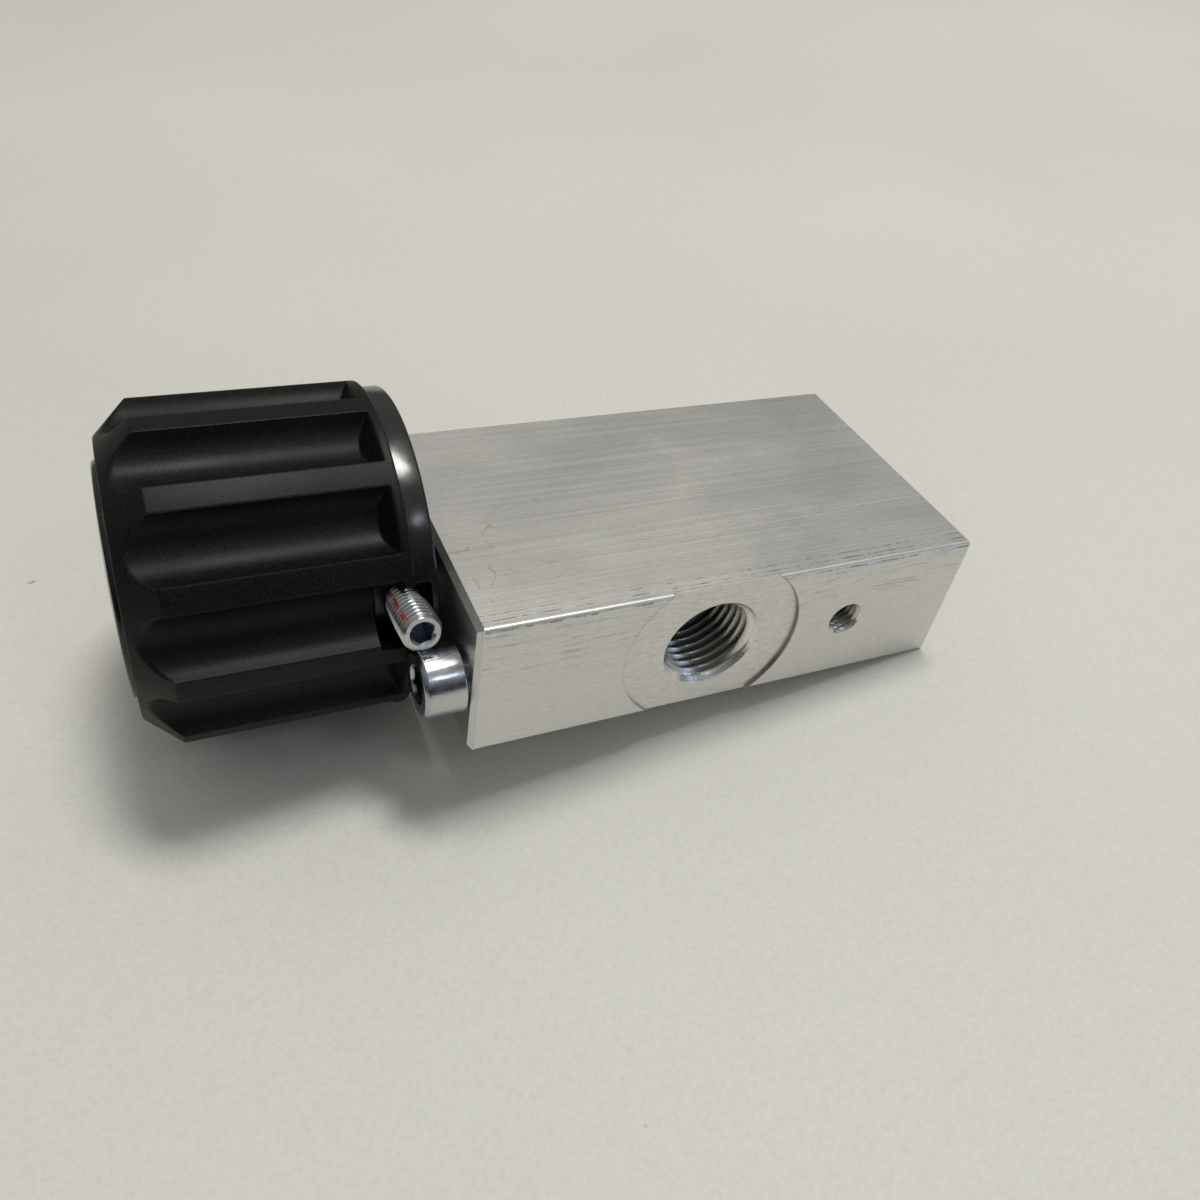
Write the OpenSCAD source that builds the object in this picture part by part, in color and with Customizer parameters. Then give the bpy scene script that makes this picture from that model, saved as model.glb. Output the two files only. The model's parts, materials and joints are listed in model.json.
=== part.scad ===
// Rotary flow control valve in a rectangular bar body, with a fluted knob and a screw stop.
// Origin: centre of the body's knob-side end face. +X runs along the body, away from the knob,
// -Y is the face with the inlet port, +Z is up. Angles about the spindle start at +Z and turn towards -Y.

/* [Body] */
// Length of the bar body
body_l = 70; // [66:0.5:90]
// Width of the bar body, from the port face to the rear face
body_w = 40; // [39:0.5:50]
// Height of the bar body
body_h = 20; // [19.5:0.5:30]
// Corner radius of the extruded bar
bar_corner_r = 0.5; // [0.3:0.1:1.5]
// Width of the bevel around the knob-side end
end_bevel = 0.7; // [0.3:0.1:1.5]
// Distance of the spindle axis from the port face
spindle_from_front = 30; // [29.5:0.25:30.5]
// Radius of the main bore
bore_r = 7; // [6.8:0.1:7.4]
// Wall left between the main bore and the outlet port's thread
bore_end_web = 5; // [3:0.5:7]
// Radius of the passage from the main bore to the outlet port
outlet_passage_r = 4.5; // [4:0.1:4.7]

/* [Ports] */
// Distance of the inlet port's axis from the knob-side end
inlet_from_end = 32; // [31.5:0.25:33]
// Radius of the tapped wall of both G1/4 ports, at the thread's crests
port_r = 5.7225; // [5.7:0.0025:5.75]
// Radius of the countersink at each port's mouth
port_mouth_r = 6.8; // [6.6:0.05:7]
// Depth of each port below its spot face
port_depth = 12; // [10:0.5:13]
// Radius of the spot face around the inlet port
inlet_seat_r = 12.5; // [10:0.5:13]
// Radius of the spot face around the outlet port
outlet_seat_r = 9.5; // [8:0.5:9.5]
// Depth of the spot faces
seat_depth = 0.45; // [0.2:0.05:1]
// Radius of the passage from the inlet port to the main bore
inlet_passage_r = 3.5; // [2.5:0.1:4]

/* [Fixing hole] */
// Distance of the fixing hole from the knob-side end
fixing_from_end = 52.7; // [50:0.1:56]
// Radius of the fixing hole's tapped wall
fixing_r = 2.1; // [2:0.05:2.2]
// Radius of the countersink at its mouth
fixing_mouth_r = 2.6; // [2.5:0.05:3]
// Depth of the fixing hole
fixing_depth = 12; // [8:0.5:14]

/* [Stop screw] */
// Distance of the stop screw's axis from the port face
stop_from_front = 4.4; // [4.3:0.1:4.6]
// Drop of the stop screw's axis below the body's middle
stop_drop = 1; // [0:0.1:2]
// Radius of the stop screw's head
stop_head_r = 4.25; // [4:0.05:4.3]
// Height of the stop screw's head
stop_head_h = 5; // [4.8:0.1:5.1]
// Bevel around the end of the head
stop_head_bevel = 0.5; // [0.3:0.05:0.6]
// Radius of the stop screw's thread
stop_thread_r = 2.5; // [2.4:0.05:2.6]
// Length of the stop screw's shank
stop_shank_l = 12; // [10:1:16]
// Gap between the head and the body, left by setting the stop
stop_gap = 0.5; // [0.3:0.05:0.6]
// Width across the flats of the socket in the head
stop_socket = 4; // [3.5:0.1:4.2]
// Depth of the socket in the head
stop_socket_depth = 2.6; // [2:0.1:3]

/* [Knob] */
// Radius of the knob over its ridges
knob_r = 21.25; // [20.9:0.05:21.35]
// Length of the knob from its front face to the end of its ridges
knob_l = 30.9; // [29:0.1:34]
// Width of the bevel around the knob's front
knob_bevel = 4.1; // [3:0.1:4.3]
// Number of flutes
flute_count = 12; // [10:1:14]
// Radius of each flute
flute_r = 4.27; // [3.9:0.05:4.4]
// Distance of the flutes' centre lines from the knob's axis
flute_ring_r = 22.47; // [22.3:0.05:23]
// Length of the plain rim behind the flutes
knob_rim = 0.9; // [0.7:0.1:1.5]
// Length over which each flute's closed end slopes up from its floor
flute_end_slant = 1.6; // [1:0.1:2]
// Angle of the first ridge
first_ridge = -30.5; // [-36:0.5:-24]
// Bevel of the rim's rear edge
rim_bevel = 0.2; // [0.1:0.05:0.4]
// Radius of the knob's hollow
knob_hollow_r = 15.6; // [14:0.1:16]
// Radius of the knob's central boss
knob_boss_r = 12; // [11:0.1:12.5]
// Number of ribs between the boss and the wall
rib_count = 6; // [3:1:8]
// Thickness of each rib
rib_t = 1.6; // [1:0.1:2.5]
// Thickness of the web that the centre screw clamps
knob_web = 3; // [2:0.1:4]
// Width of the pocket around the set screw, in the knob and the collar
pocket_w = 7.8; // [6:0.1:8.4]
// Distance of the pocket's front wall from the set screw's axis
pocket_front = 4; // [3:0.1:4.4]
// Distance of the pocket's rear wall from the set screw's axis
pocket_rear = 2.65; // [2.6:0.05:2.8]
// Drop of the pocket's floor in the knob below the edge of the hub's disc
pocket_drop = 0.2; // [0.1:0.05:0.3]

/* [Knob cap] */
// Radius of the cap's rim
cap_r = 14.5; // [14.2:0.05:15.5]
// Thickness of the cap's rim
cap_rim_t = 0.7; // [0.5:0.05:1]
// Rise of the dome above the rim
cap_dome = 0.5; // [0.3:0.05:0.9]
// Radius of the cap's rounded edge
cap_edge_r = 0.5; // [0.3:0.05:0.65]
// Depth of the cap's inner face below the knob's front
cap_inset = 0.3; // [0.1:0.1:1]
// Radius of the recess that the cap snaps into
cap_recess_r = 13.2; // [12:0.1:13.6]
// Wall of the cap's skirt
cap_skirt_t = 1.1; // [0.8:0.1:1.5]
// Length of the cap's skirt
cap_skirt_l = 2.8; // [2:0.1:3.5]

/* [Collar] */
// Radius of the collar behind the knob
collar_r = 20.35; // [20:0.05:20.45]
// Width of the collar that shows behind the knob
collar_w = 2.95; // [2.8:0.05:3.1]
// Gap between the collar and the body
collar_gap = 1.05; // [0.8:0.05:1.2]
// Bevel of the collar's rear edge
collar_bevel = 0.3; // [0.2:0.05:0.5]
// Radius of the part of the collar inside the knob's skirt
hub_disc_r = 17; // [16.4:0.05:17.2]
// Thickness of that part
hub_disc_t = 4; // [3.6:0.1:4.5]
// Radius of the hub's stem
hub_stem_r = 9; // [8:0.1:9.5]
// Width across the two flats of the stem
hub_flats = 15; // [14:0.1:16]
// Length of the stem
hub_stem_l = 19; // [17:0.1:19.5]

/* [Set screw] */
// Radius of the set screw's thread
set_r = 2.5; // [2.3:0.05:2.5]
// Length of the set screw
set_l = 20; // [20:0.25:20.5]
// Bevel at the set screw's ends
set_bevel = 0.3; // [0.2:0.05:0.5]
// Distance of the set screw's axis from the body
set_from_end = 4.5; // [4.4:0.05:4.6]
// Width across the flats of its socket
set_socket = 2.5; // [2:0.1:2.8]
// Depth of its socket
set_socket_depth = 2.7; // [2:0.1:3.5]

/* [Spindle] */
// Radius of the spindle
spindle_r = 5; // [4.9:0.05:5.05]
// Radius of the thrust flange
flange_r = 6.7; // [6.2:0.1:6.7]
// Thickness of the thrust flange
flange_t = 2; // [1.5:0.1:2.5]
// Bevel at the spindle's outer end
spindle_bevel = 0.4; // [0.2:0.1:0.8]
// Depth of the spindle's outer end inside the stem
spindle_sink = 0.8; // [0.3:0.1:1.5]
// Radius of the hollow in the throttle drum
drum_hollow_r = 3; // [2.5:0.1:3.4]
// Length of the throttle drum past the inlet port's axis
drum_past_inlet = 5; // [4.5:0.1:5.2]
// Depth of the hollow from the drum's end
drum_hollow_l = 11; // [9:0.5:13]
// Width of the metering slot around the drum
slot_w = 3; // [2:0.1:4]
// Angle that the metering slot covers
slot_angle = 170; // [90:5:200]
// Width of the fine-metering notch that leads into the slot
notch_w = 1; // [0.6:0.1:1.5]
// Angle that the notch covers
notch_angle = 110; // [60:5:120]

/* [Gland] */
// Radius of the gland's thread
gland_r = 8; // [7.8:0.05:8.2]
// Length of the gland's thread
gland_thread_l = 8; // [7.5:0.1:8.5]
// Length of the gland's plain pilot
gland_pilot_l = 2.6; // [2.5:0.1:3]
// Depth of the gland's face below the body's end
gland_sink = 0.3; // [0.2:0.05:0.6]
// Radius of the two spanner holes
spanner_r = 0.6; // [0.4:0.05:0.65]
// Depth of the spanner holes
spanner_depth = 1.2; // [0.8:0.1:1.2]
// Thickness of the thrust washer
thrust_t = 0.55; // [0.4:0.05:0.8]
// Distance from the packing groove's front to the gland's shoulder
packing_from_shoulder = 4.3; // [3.8:0.1:4.6]

/* [Seals] */
// Section radius of the O-ring on the spindle
spindle_ring_r = 0.72; // [0.6:0.02:0.75]
// Section radius of the O-rings in the body's bore
bore_ring_r = 0.53; // [0.45:0.01:0.55]
// Extra width of the O-ring grooves
groove_play = 0.3; // [0.2:0.05:0.5]
// Thickness of the backup ring
backup_t = 0.6; // [0.4:0.05:0.8]
// Extra width of the groove that holds the spindle's O-ring and backup ring
packing_play = 0.2; // [0.1:0.05:0.4]
// Width of the wiper ring
wiper_w = 1.4; // [1.2:0.1:1.6]
// Room in front of the wiper for its lip
wiper_room = 1; // [0.6:0.1:1.2]
// Thickness of the wiper's lip
lip_t = 0.35; // [0.2:0.05:0.5]
// Height of the wiper's lip above its body
lip_h = 0.6; // [0.3:0.1:0.7]

/* [Sleeve] */
// Radius of the groove around the sleeve at the inlet
feed_groove_r = 6.1; // [5.9:0.05:6.3]
// Width of that groove
feed_groove_w = 8.5; // [7.5:0.1:9]
// Radius of the inlet window in the sleeve
window_r = 2.2; // [1.5:0.1:2.5]
// Radius of the four outlet windows in the sleeve
outlet_window_r = 1.5; // [1.2:0.1:1.7]
// Radius of the four grooves that lead to the outlet
drain_groove_r = 1.1; // [0.8:0.1:1.3]
// Gap between the thrust flange and the sleeve
sleeve_gap = 0.5; // [0.3:0.1:1]
// Gap between the sleeve and the end of the bore
sleeve_end_gap = 0.3; // [0.1:0.1:0.6]
// Distance of the first O-ring from the sleeve's front
front_ring_from_end = 7; // [4:0.5:8]
// Distance of the second O-ring from the inlet groove
rear_ring_from_groove = 2.6; // [1.6:0.1:3]

/* [Compensator] */
// Length of the compensator spool
spool_l = 9; // [8:0.1:9.5]
// Wall of the spool
spool_wall = 1.4; // [1.2:0.05:1.5]
// Thickness of the spool's nose
spool_nose = 1.5; // [1.2:0.1:2]
// Radius of the orifice in the nose
orifice_r = 1.2; // [0.8:0.1:1.5]
// Radius of the spool's metering holes
spool_hole_r = 1; // [0.7:0.05:1.1]
// Distance of the metering holes from the spool's nose
spool_hole_from_nose = 4.5; // [4:0.1:5]
// Travel of the spool
spool_travel = 3; // [2:0.1:3.5]
// Thickness of the snap ring that stops the spool
snap_t = 0.6; // [0.5:0.05:0.7]
// Depth of the snap ring's groove
snap_groove = 0.5; // [0.3:0.05:0.6]
// Reach of the snap ring into the sleeve's bore
snap_reach = 0.8; // [0.5:0.1:1.2]
// Width of the opening in the snap ring
snap_opening = 3; // [2:0.5:4]
// Gap between the drum and the snap ring
drum_gap = 0.3; // [0.2:0.05:0.5]
// Gap between the snap ring and the spool at rest
spool_rest_gap = 0.1; // [0.05:0.05:0.2]
// Radius of the spring's wire
wire_r = 0.4; // [0.35:0.01:0.45]
// Radial play of the spring inside the spool
spring_play = 0.25; // [0.15:0.05:0.4]
// Number of turns of the spring
spring_turns = 6; // [5:1:7]
// Thickness of the spring's seat
spring_seat_t = 1; // [0.8:0.1:1.2]
// Radius of the hole in the spring's seat
spring_seat_hole_r = 1.8; // [1.5:0.1:2]

/* [Centre screw] */
// Radius of the centre screw's thread
centre_r = 2; // [1.8:0.1:2.2]
// Radius of the centre screw's head
centre_head_r = 3.8; // [3.5:0.1:4.2]
// Height of the centre screw's head
centre_head_h = 2.2; // [1.8:0.1:2.4]
// Length of the centre screw
centre_l = 12; // [10:1:14]
// Width across the flats of its socket
centre_socket = 2.5; // [2:0.1:3]
// Depth of its socket
centre_socket_depth = 1.4; // [1:0.1:1.6]
// Radial play of the screw in the knob and the washer
centre_play = 0.15; // [0.1:0.05:0.3]
// Radius of the washer under the head
washer_r = 5; // [4.6:0.1:6]
// Thickness of the washer
washer_t = 0.8; // [0.5:0.1:1]

/* [Clearances] */
// Radial clearance of a running fit
run_gap = 0.05; // [0.02:0.01:0.09]
// Radial clearance of pieces that are fixed in each other
seat_gap = 0.02; // [0.01:0.01:0.04]
// Gap left between the set screw and the stop screw at rest
rest_gap = 0.03; // [0.02:0.01:0.1]
// Axial play of the spindle's thrust flange
thrust_play = 0.05; // [0.03:0.01:0.1]
// Gap behind the gland's shoulder
shoulder_gap = 0.1; // [0.05:0.05:0.2]

/* [Hidden] */
$fn = 96;
eps = 0.01;
over = 1;

y_front = -body_w / 2;
spindle_y = y_front + spindle_from_front;
bore_end_x = body_l - seat_depth - port_depth - bore_end_web;

// Gland and spindle, from the body's end inwards
gland_shoulder_x = gland_sink + gland_thread_l;
gland_end_x = gland_shoulder_x + gland_pilot_l;
gland_ring_x = gland_end_x - gland_pilot_l / 2;
ring_groove_w = 2 * bore_ring_r + groove_play;
ring_groove_r = bore_r - 2 * bore_ring_r - seat_gap;
wiper_x = gland_sink + wiper_room;
packing_x = gland_shoulder_x - packing_from_shoulder;
packing_w = 2 * spindle_ring_r + backup_t + packing_play;
backup_x = packing_x + 2 * spindle_ring_r + packing_play / 2;
packing_r = spindle_r + run_gap + 2 * spindle_ring_r + seat_gap;
flange_x = gland_end_x + thrust_t + thrust_play;
drum_end_x = inlet_from_end + drum_past_inlet;

// Sleeve and compensator
sleeve_x = flange_x + flange_t + sleeve_gap;
sleeve_end_x = bore_end_x - sleeve_end_gap;
sleeve_r = bore_r - seat_gap;
sleeve_bore_r = spindle_r + run_gap;
snap_x = drum_end_x + drum_gap;
spool_x = snap_x + snap_t + spool_rest_gap;
spool_floor_x = spool_x + spool_nose;
spool_hole_x = spool_x + spool_hole_from_nose;
outlet_window_x = spool_hole_x + spool_hole_r / 2 + outlet_window_r / 2;
spring_seat_x = bore_end_x - spring_seat_t;
spring_mean_r = spindle_r - spool_wall - wire_r - spring_play;
front_ring_x = sleeve_x + front_ring_from_end;
rear_ring_x = inlet_from_end + feed_groove_w / 2 + rear_ring_from_groove;

// Collar and knob, from the body outwards
collar_rear_x = -collar_gap;
collar_front_x = collar_rear_x - collar_w;
hub_disc_x = collar_front_x - hub_disc_t;
knob_rear_x = collar_front_x - rim_bevel;
knob_front_x = knob_rear_x - knob_l;
hub_end_x = hub_disc_x - hub_stem_l;
spindle_start_x = hub_end_x + spindle_sink;
recess_floor_x = hub_end_x - knob_web;
flute_end_x = knob_rear_x - knob_rim;
flute_floor_r = flute_ring_r - flute_r;
flute_end_slope = flute_end_slant / (knob_r - flute_floor_r);
knob_step_r = hub_disc_r + seat_gap;
knob_pocket_r = sqrt(pow(knob_step_r, 2) - pow(pocket_w / 2, 2)) - pocket_drop;

// The set screw meets the stop screw's head where the two are tangent
stop_y = y_front + stop_from_front;
stop_z = -stop_drop;
stop_reach = norm([stop_y - spindle_y, stop_z]);
stop_angle = atan2(spindle_y - stop_y, stop_z);
contact_angle = asin((stop_head_r + set_r + rest_gap) / stop_reach);
set_angle = stop_angle - contact_angle;
set_start = spindle_r + seat_gap;

// A body of revolution about the spindle axis, from [radius, x] points
module turned(points) {
    translate([0, spindle_y, 0])
        rotate([0, 90, 0])
            rotate_extrude()
                polygon(points);
}

// A cylinder on the spindle axis from x0 to x1
module round_bar(r, x0, x1) {
    translate([x0, spindle_y, 0])
        rotate([0, 90, 0])
            cylinder(r = r, h = x1 - x0);
}

// A flat ring on the spindle axis
module ring(r_out, r_in, x0, x1) {
    difference() {
        round_bar(r_out, x0, x1);
        round_bar(r_in, x0 - over, x1 + over);
    }
}

// An O-ring on the spindle axis
module o_ring(mean_r, section_r, x) {
    translate([x, spindle_y, 0])
        rotate([0, 90, 0])
            rotate_extrude()
                translate([mean_r, 0])
                    circle(r = section_r);
}

// Places children along a radius of the spindle, with +Z outwards
module radial(angle, x) {
    translate([x, spindle_y, 0])
        rotate([angle, 0, 0])
            children();
}

// A hexagon socket along +Z, given its width across the flats
module hex_socket(flats, depth) {
    cylinder(d = flats / cos(30), h = depth, $fn = 6);
}

// A rod along +Z with a bevel at both ends
module bevelled_rod(r, h, bevel) {
    rotate_extrude()
        polygon([[0, 0], [r - bevel, 0], [r, bevel], [r, h - bevel], [r - bevel, h], [0, h]]);
}

// A port along +Z that opens at z = 0: spot face, countersink, tapped wall
module port_cut(seat_r) {
    rotate_extrude()
        polygon([[0, over], [seat_r, over], [seat_r, -seat_depth], [port_mouth_r, -seat_depth],
                 [port_r, -seat_depth - (port_mouth_r - port_r)], [port_r, -seat_depth - port_depth],
                 [0, -seat_depth - port_depth]]);
}

// Section of the extruded bar
module bar_section() {
    square([body_w - 2 * bar_corner_r, body_h], center = true);
    square([body_w, body_h - 2 * bar_corner_r], center = true);
    for (sy = [-1, 1])
        for (sz = [-1, 1])
            translate([sy * (body_w / 2 - bar_corner_r), sz * (body_h / 2 - bar_corner_r)])
                circle(r = bar_corner_r);
}

module end_bevel_cuts() {
    side = end_bevel * sqrt(2);
    for (s = [-1, 1]) {
        translate([0, 0, s * body_h / 2])
            rotate([0, 45, 0])
                cube([side, body_w + 2 * over, side], center = true);
        translate([0, s * body_w / 2, 0])
            rotate([0, 0, 45])
                cube([side, side, body_h + 2 * over], center = true);
    }
}

// Main bore with the gland's thread and a lead-in
module main_bore() {
    lead_in = 0.4;
    shoulder_x = gland_shoulder_x + shoulder_gap;
    outlet_x = body_l - seat_depth - port_depth + over;
    turned([[0, -over], [gland_r + lead_in, -over], [gland_r + lead_in, 0], [gland_r, lead_in],
            [gland_r, shoulder_x], [bore_r, shoulder_x], [bore_r, bore_end_x],
            [outlet_passage_r, bore_end_x], [outlet_passage_r, outlet_x], [0, outlet_x]]);
}

module valve_body() {
    color("silver")
        difference() {
            rotate([90, 0, 90])
                linear_extrude(height = body_l)
                    bar_section();
            end_bevel_cuts();
            main_bore();
            translate([inlet_from_end, y_front, 0])
                rotate([90, 0, 0])
                    port_cut(inlet_seat_r);
            translate([inlet_from_end, spindle_y, 0])
                rotate([90, 0, 0])
                    cylinder(r = inlet_passage_r, h = spindle_from_front - seat_depth - port_depth + over);
            translate([body_l, spindle_y, 0])
                rotate([0, 90, 0])
                    port_cut(outlet_seat_r);
            translate([fixing_from_end, y_front, 0])
                rotate([90, 0, 0])
                    rotate_extrude()
                        polygon([[0, over], [fixing_mouth_r, over], [fixing_mouth_r, 0],
                                 [fixing_r, fixing_r - fixing_mouth_r], [fixing_r, -fixing_depth],
                                 [0, -fixing_depth - fixing_r / 2]]);
            translate([-over, stop_y, stop_z])
                rotate([0, 90, 0])
                    cylinder(r = stop_thread_r + seat_gap, h = stop_shank_l + over);
        }
}

// Fixed sleeve: inlet groove and window, seal grooves, outlet windows with grooves to the outlet
module throttle_sleeve() {
    color("slategray")
        difference() {
            ring(sleeve_r, sleeve_bore_r, sleeve_x, sleeve_end_x);
            ring(sleeve_r + over, feed_groove_r, inlet_from_end - feed_groove_w / 2,
                 inlet_from_end + feed_groove_w / 2);
            for (x = [front_ring_x, rear_ring_x])
                ring(sleeve_r + over, ring_groove_r, x - ring_groove_w / 2, x + ring_groove_w / 2);
            round_bar(spindle_r + snap_groove, snap_x, snap_x + snap_t + run_gap);
            radial(90, inlet_from_end)
                cylinder(r = window_r, h = sleeve_r + over);
            for (k = [0:3])
                radial(45 + 90 * k, 0) {
                    translate([outlet_window_x, 0, 0])
                        cylinder(r = outlet_window_r, h = sleeve_r + over);
                    translate([outlet_window_x, 0, sleeve_r])
                        rotate([0, 90, 0])
                            cylinder(r = drain_groove_r, h = sleeve_end_x - outlet_window_x + over);
                }
        }
}

module sleeve_seals() {
    color("dimgray")
        for (x = [front_ring_x, rear_ring_x])
            o_ring(ring_groove_r + bore_ring_r + seat_gap / 2, bore_ring_r, x);
}

// Threaded gland with a pilot, a packing groove, a wiper groove and two spanner holes
module gland_bush() {
    color("darkgoldenrod")
        difference() {
            turned([[spindle_r + run_gap, gland_sink], [gland_r - seat_gap, gland_sink],
                    [gland_r - seat_gap, gland_shoulder_x], [bore_r - seat_gap, gland_shoulder_x],
                    [bore_r - seat_gap, gland_end_x], [spindle_r + run_gap, gland_end_x]]);
            ring(bore_r + over, ring_groove_r, gland_ring_x - ring_groove_w / 2,
                 gland_ring_x + ring_groove_w / 2);
            round_bar(packing_r, packing_x, packing_x + packing_w);
            round_bar(packing_r, gland_sink - over, wiper_x + wiper_w);
            for (side = [0, 180])
                radial(side, gland_sink - over)
                    translate([0, 0, (gland_r + packing_r) / 2])
                        rotate([0, 90, 0])
                            cylinder(r = spanner_r, h = spanner_depth + over);
        }
}

module gland_seal() {
    color("dimgray")
        o_ring(ring_groove_r + bore_ring_r + seat_gap / 2, bore_ring_r, gland_ring_x);
}

module spindle_seal() {
    color("dimgray")
        o_ring(spindle_r + run_gap + spindle_ring_r, spindle_ring_r,
               packing_x + spindle_ring_r + packing_play / 4);
}

module backup_ring() {
    color("ivory")
        ring(packing_r - seat_gap, spindle_r + run_gap, backup_x, backup_x + backup_t);
}

// Wiper with a lip that leans out against the spindle
module wiper_ring() {
    lip_r = spindle_r + run_gap;
    body_x = wiper_x + wiper_w;
    shoulder_x = wiper_x + lip_h;
    color("seagreen")
        turned([[lip_r + lip_t, body_x], [lip_r, wiper_x], [lip_r + lip_t, wiper_x - lip_t / 2],
                [lip_r + 2 * lip_t, shoulder_x], [packing_r - seat_gap, shoulder_x],
                [packing_r - seat_gap, body_x]]);
}

module thrust_washer() {
    color("darkkhaki")
        ring(flange_r, spindle_r + run_gap, gland_end_x, gland_end_x + thrust_t);
}

// Hexagon socket cap screw that serves as the knob's stop
module stop_screw() {
    color("gainsboro")
        translate([-stop_gap, stop_y, stop_z])
            rotate([0, 90, 0])
                difference() {
                    union() {
                        rotate([180, 0, 0])
                            rotate_extrude()
                                polygon([[0, 0], [stop_head_r, 0], [stop_head_r, stop_head_h - stop_head_bevel],
                                         [stop_head_r - stop_head_bevel, stop_head_h], [0, stop_head_h]]);
                        cylinder(r = stop_thread_r, h = stop_shank_l);
                    }
                    translate([0, 0, -stop_head_h - eps])
                        hex_socket(stop_socket, stop_socket_depth + eps);
                }
}

// Snap ring with its gap, in the sleeve's groove
module spool_stop_ring() {
    color("gray")
        difference() {
            ring(spindle_r + snap_groove - seat_gap, spindle_r - snap_reach, snap_x, snap_x + snap_t);
            radial(180, snap_x - over)
                translate([0, -snap_opening / 2, 0])
                    cube([snap_t + 2 * over, snap_opening, spindle_r + over]);
        }
}

// Point on the spring's centre line after t turns
function coil_centre(t, x0, pitch) =
    [x0 + pitch * t, spring_mean_r * cos(360 * t), spring_mean_r * sin(360 * t)];

// Point s of a ring of the wire after t turns, out from the axis and along it
function coil_skin(t, a, x0, pitch) =
    coil_centre(t, x0, pitch)
    + wire_r * [sin(a), cos(a) * cos(360 * t), cos(a) * sin(360 * t)];

module compensator_spring() {
    sides = 8;
    steps = 14;
    rings = spring_turns * steps;
    x0 = spool_floor_x + wire_r;
    pitch = (spring_seat_x - spool_floor_x - 2 * wire_r) / spring_turns;
    skin = [for (i = [0:rings]) for (s = [0:sides - 1])
                coil_skin(i / steps, 360 * s / sides, x0, pitch)];
    wall = [for (i = [0:rings - 1]) for (s = [0:sides - 1])
                for (half = [0, 1])
                    let (a = i * sides + s, b = i * sides + (s + 1) % sides)
                        half == 0 ? [a, b, b + sides] : [a, b + sides, a + sides]];
    start_cap = [[for (s = [0:sides - 1]) sides - 1 - s]];
    end_cap = [[for (s = [0:sides - 1]) rings * sides + s]];
    color("lightsteelblue")
        translate([0, spindle_y, 0])
            polyhedron(points = skin, faces = concat(wall, start_cap, end_cap), convexity = 10);
}

module spring_seat() {
    color("gray")
        ring(sleeve_bore_r - seat_gap, spring_seat_hole_r, spring_seat_x, bore_end_x);
}

// Cup-shaped spool: orifice in the nose, four metering holes in the wall
module compensator_spool() {
    color("lightslategray")
        difference() {
            round_bar(spindle_r, spool_x, spool_x + spool_l);
            round_bar(spindle_r - spool_wall, spool_floor_x, spool_x + spool_l + over);
            round_bar(orifice_r, spool_x - over, spool_floor_x + over);
            for (k = [0:3])
                radial(45 + 90 * k, spool_hole_x)
                    cylinder(r = spool_hole_r, h = spindle_r + over);
        }
}

// A sector of a ring around the throttle drum
module drum_slot(width, from_angle, span) {
    inner_r = drum_hollow_r - over / 2;
    translate([inlet_from_end - width / 2, spindle_y, 0])
        rotate([0, 90, 0])
            rotate([0, 0, from_angle])
                rotate_extrude(angle = span)
                    translate([inner_r, 0])
                        square([spindle_r - inner_r + over, width]);
}

// Spindle: journal, thrust flange and hollow throttle drum with a metering slot
module spindle() {
    shared_angle = 1;
    color("lightgray")
        difference() {
            turned([[0, spindle_start_x], [spindle_r - spindle_bevel, spindle_start_x],
                    [spindle_r, spindle_start_x + spindle_bevel], [spindle_r, flange_x], [flange_r, flange_x],
                    [flange_r, flange_x + flange_t], [spindle_r, flange_x + flange_t],
                    [spindle_r, drum_end_x], [0, drum_end_x]]);
            round_bar(drum_hollow_r, drum_end_x - drum_hollow_l, drum_end_x + over);
            round_bar(centre_r + seat_gap, spindle_start_x - over, recess_floor_x - washer_t + centre_l + over);
            drum_slot(notch_w, 0, notch_angle);
            drum_slot(slot_w, notch_angle - shared_angle, slot_angle);
        }
}

// Hub and collar: the collar shows behind the knob, the stem with two flats drives it
// Pocket around the set screw, open outwards from a flat floor at a distance from the spindle's axis
module set_screw_pocket(floor_r) {
    radial(set_angle, -set_from_end)
        translate([-pocket_front, -pocket_w / 2, floor_r])
            cube([pocket_front + pocket_rear, pocket_w, knob_r]);
}

module stop_collar() {
    color("black")
        difference() {
            union() {
                turned([[0, hub_disc_x], [hub_disc_r, hub_disc_x], [hub_disc_r, collar_front_x],
                        [collar_r, collar_front_x], [collar_r, collar_rear_x - collar_bevel],
                        [collar_r - collar_bevel, collar_rear_x], [0, collar_rear_x]]);
                intersection() {
                    round_bar(hub_stem_r, hub_end_x, hub_disc_x + over);
                    translate([hub_end_x, spindle_y - hub_flats / 2, -hub_stem_r])
                        cube([hub_disc_x - hub_end_x + over, hub_flats, 2 * hub_stem_r]);
                }
            }
            round_bar(spindle_r + seat_gap, hub_end_x - over, collar_rear_x + over);
            radial(set_angle, -set_from_end)
                cylinder(r = set_r + seat_gap, h = collar_r + over);
            set_screw_pocket(hub_disc_r);
        }
}

// Outside of the knob, before it is fluted
module knob_blank() {
    turned([[0, knob_front_x], [knob_r - knob_bevel, knob_front_x], [knob_r, knob_front_x + knob_bevel],
            [knob_r, knob_rear_x], [knob_r - rim_bevel, collar_front_x], [0, collar_front_x]]);
}

// Solid that closes the flutes, with a cone around the knob's axis as its front
module flute_ends() {
    turned([[0, flute_end_x - flute_end_slant - over * flute_end_slope],
            [flute_floor_r - over, flute_end_x - flute_end_slant - over * flute_end_slope],
            [knob_r + over, flute_end_x + over * flute_end_slope],
            [knob_r + over, collar_rear_x], [0, collar_rear_x]]);
}

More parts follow.
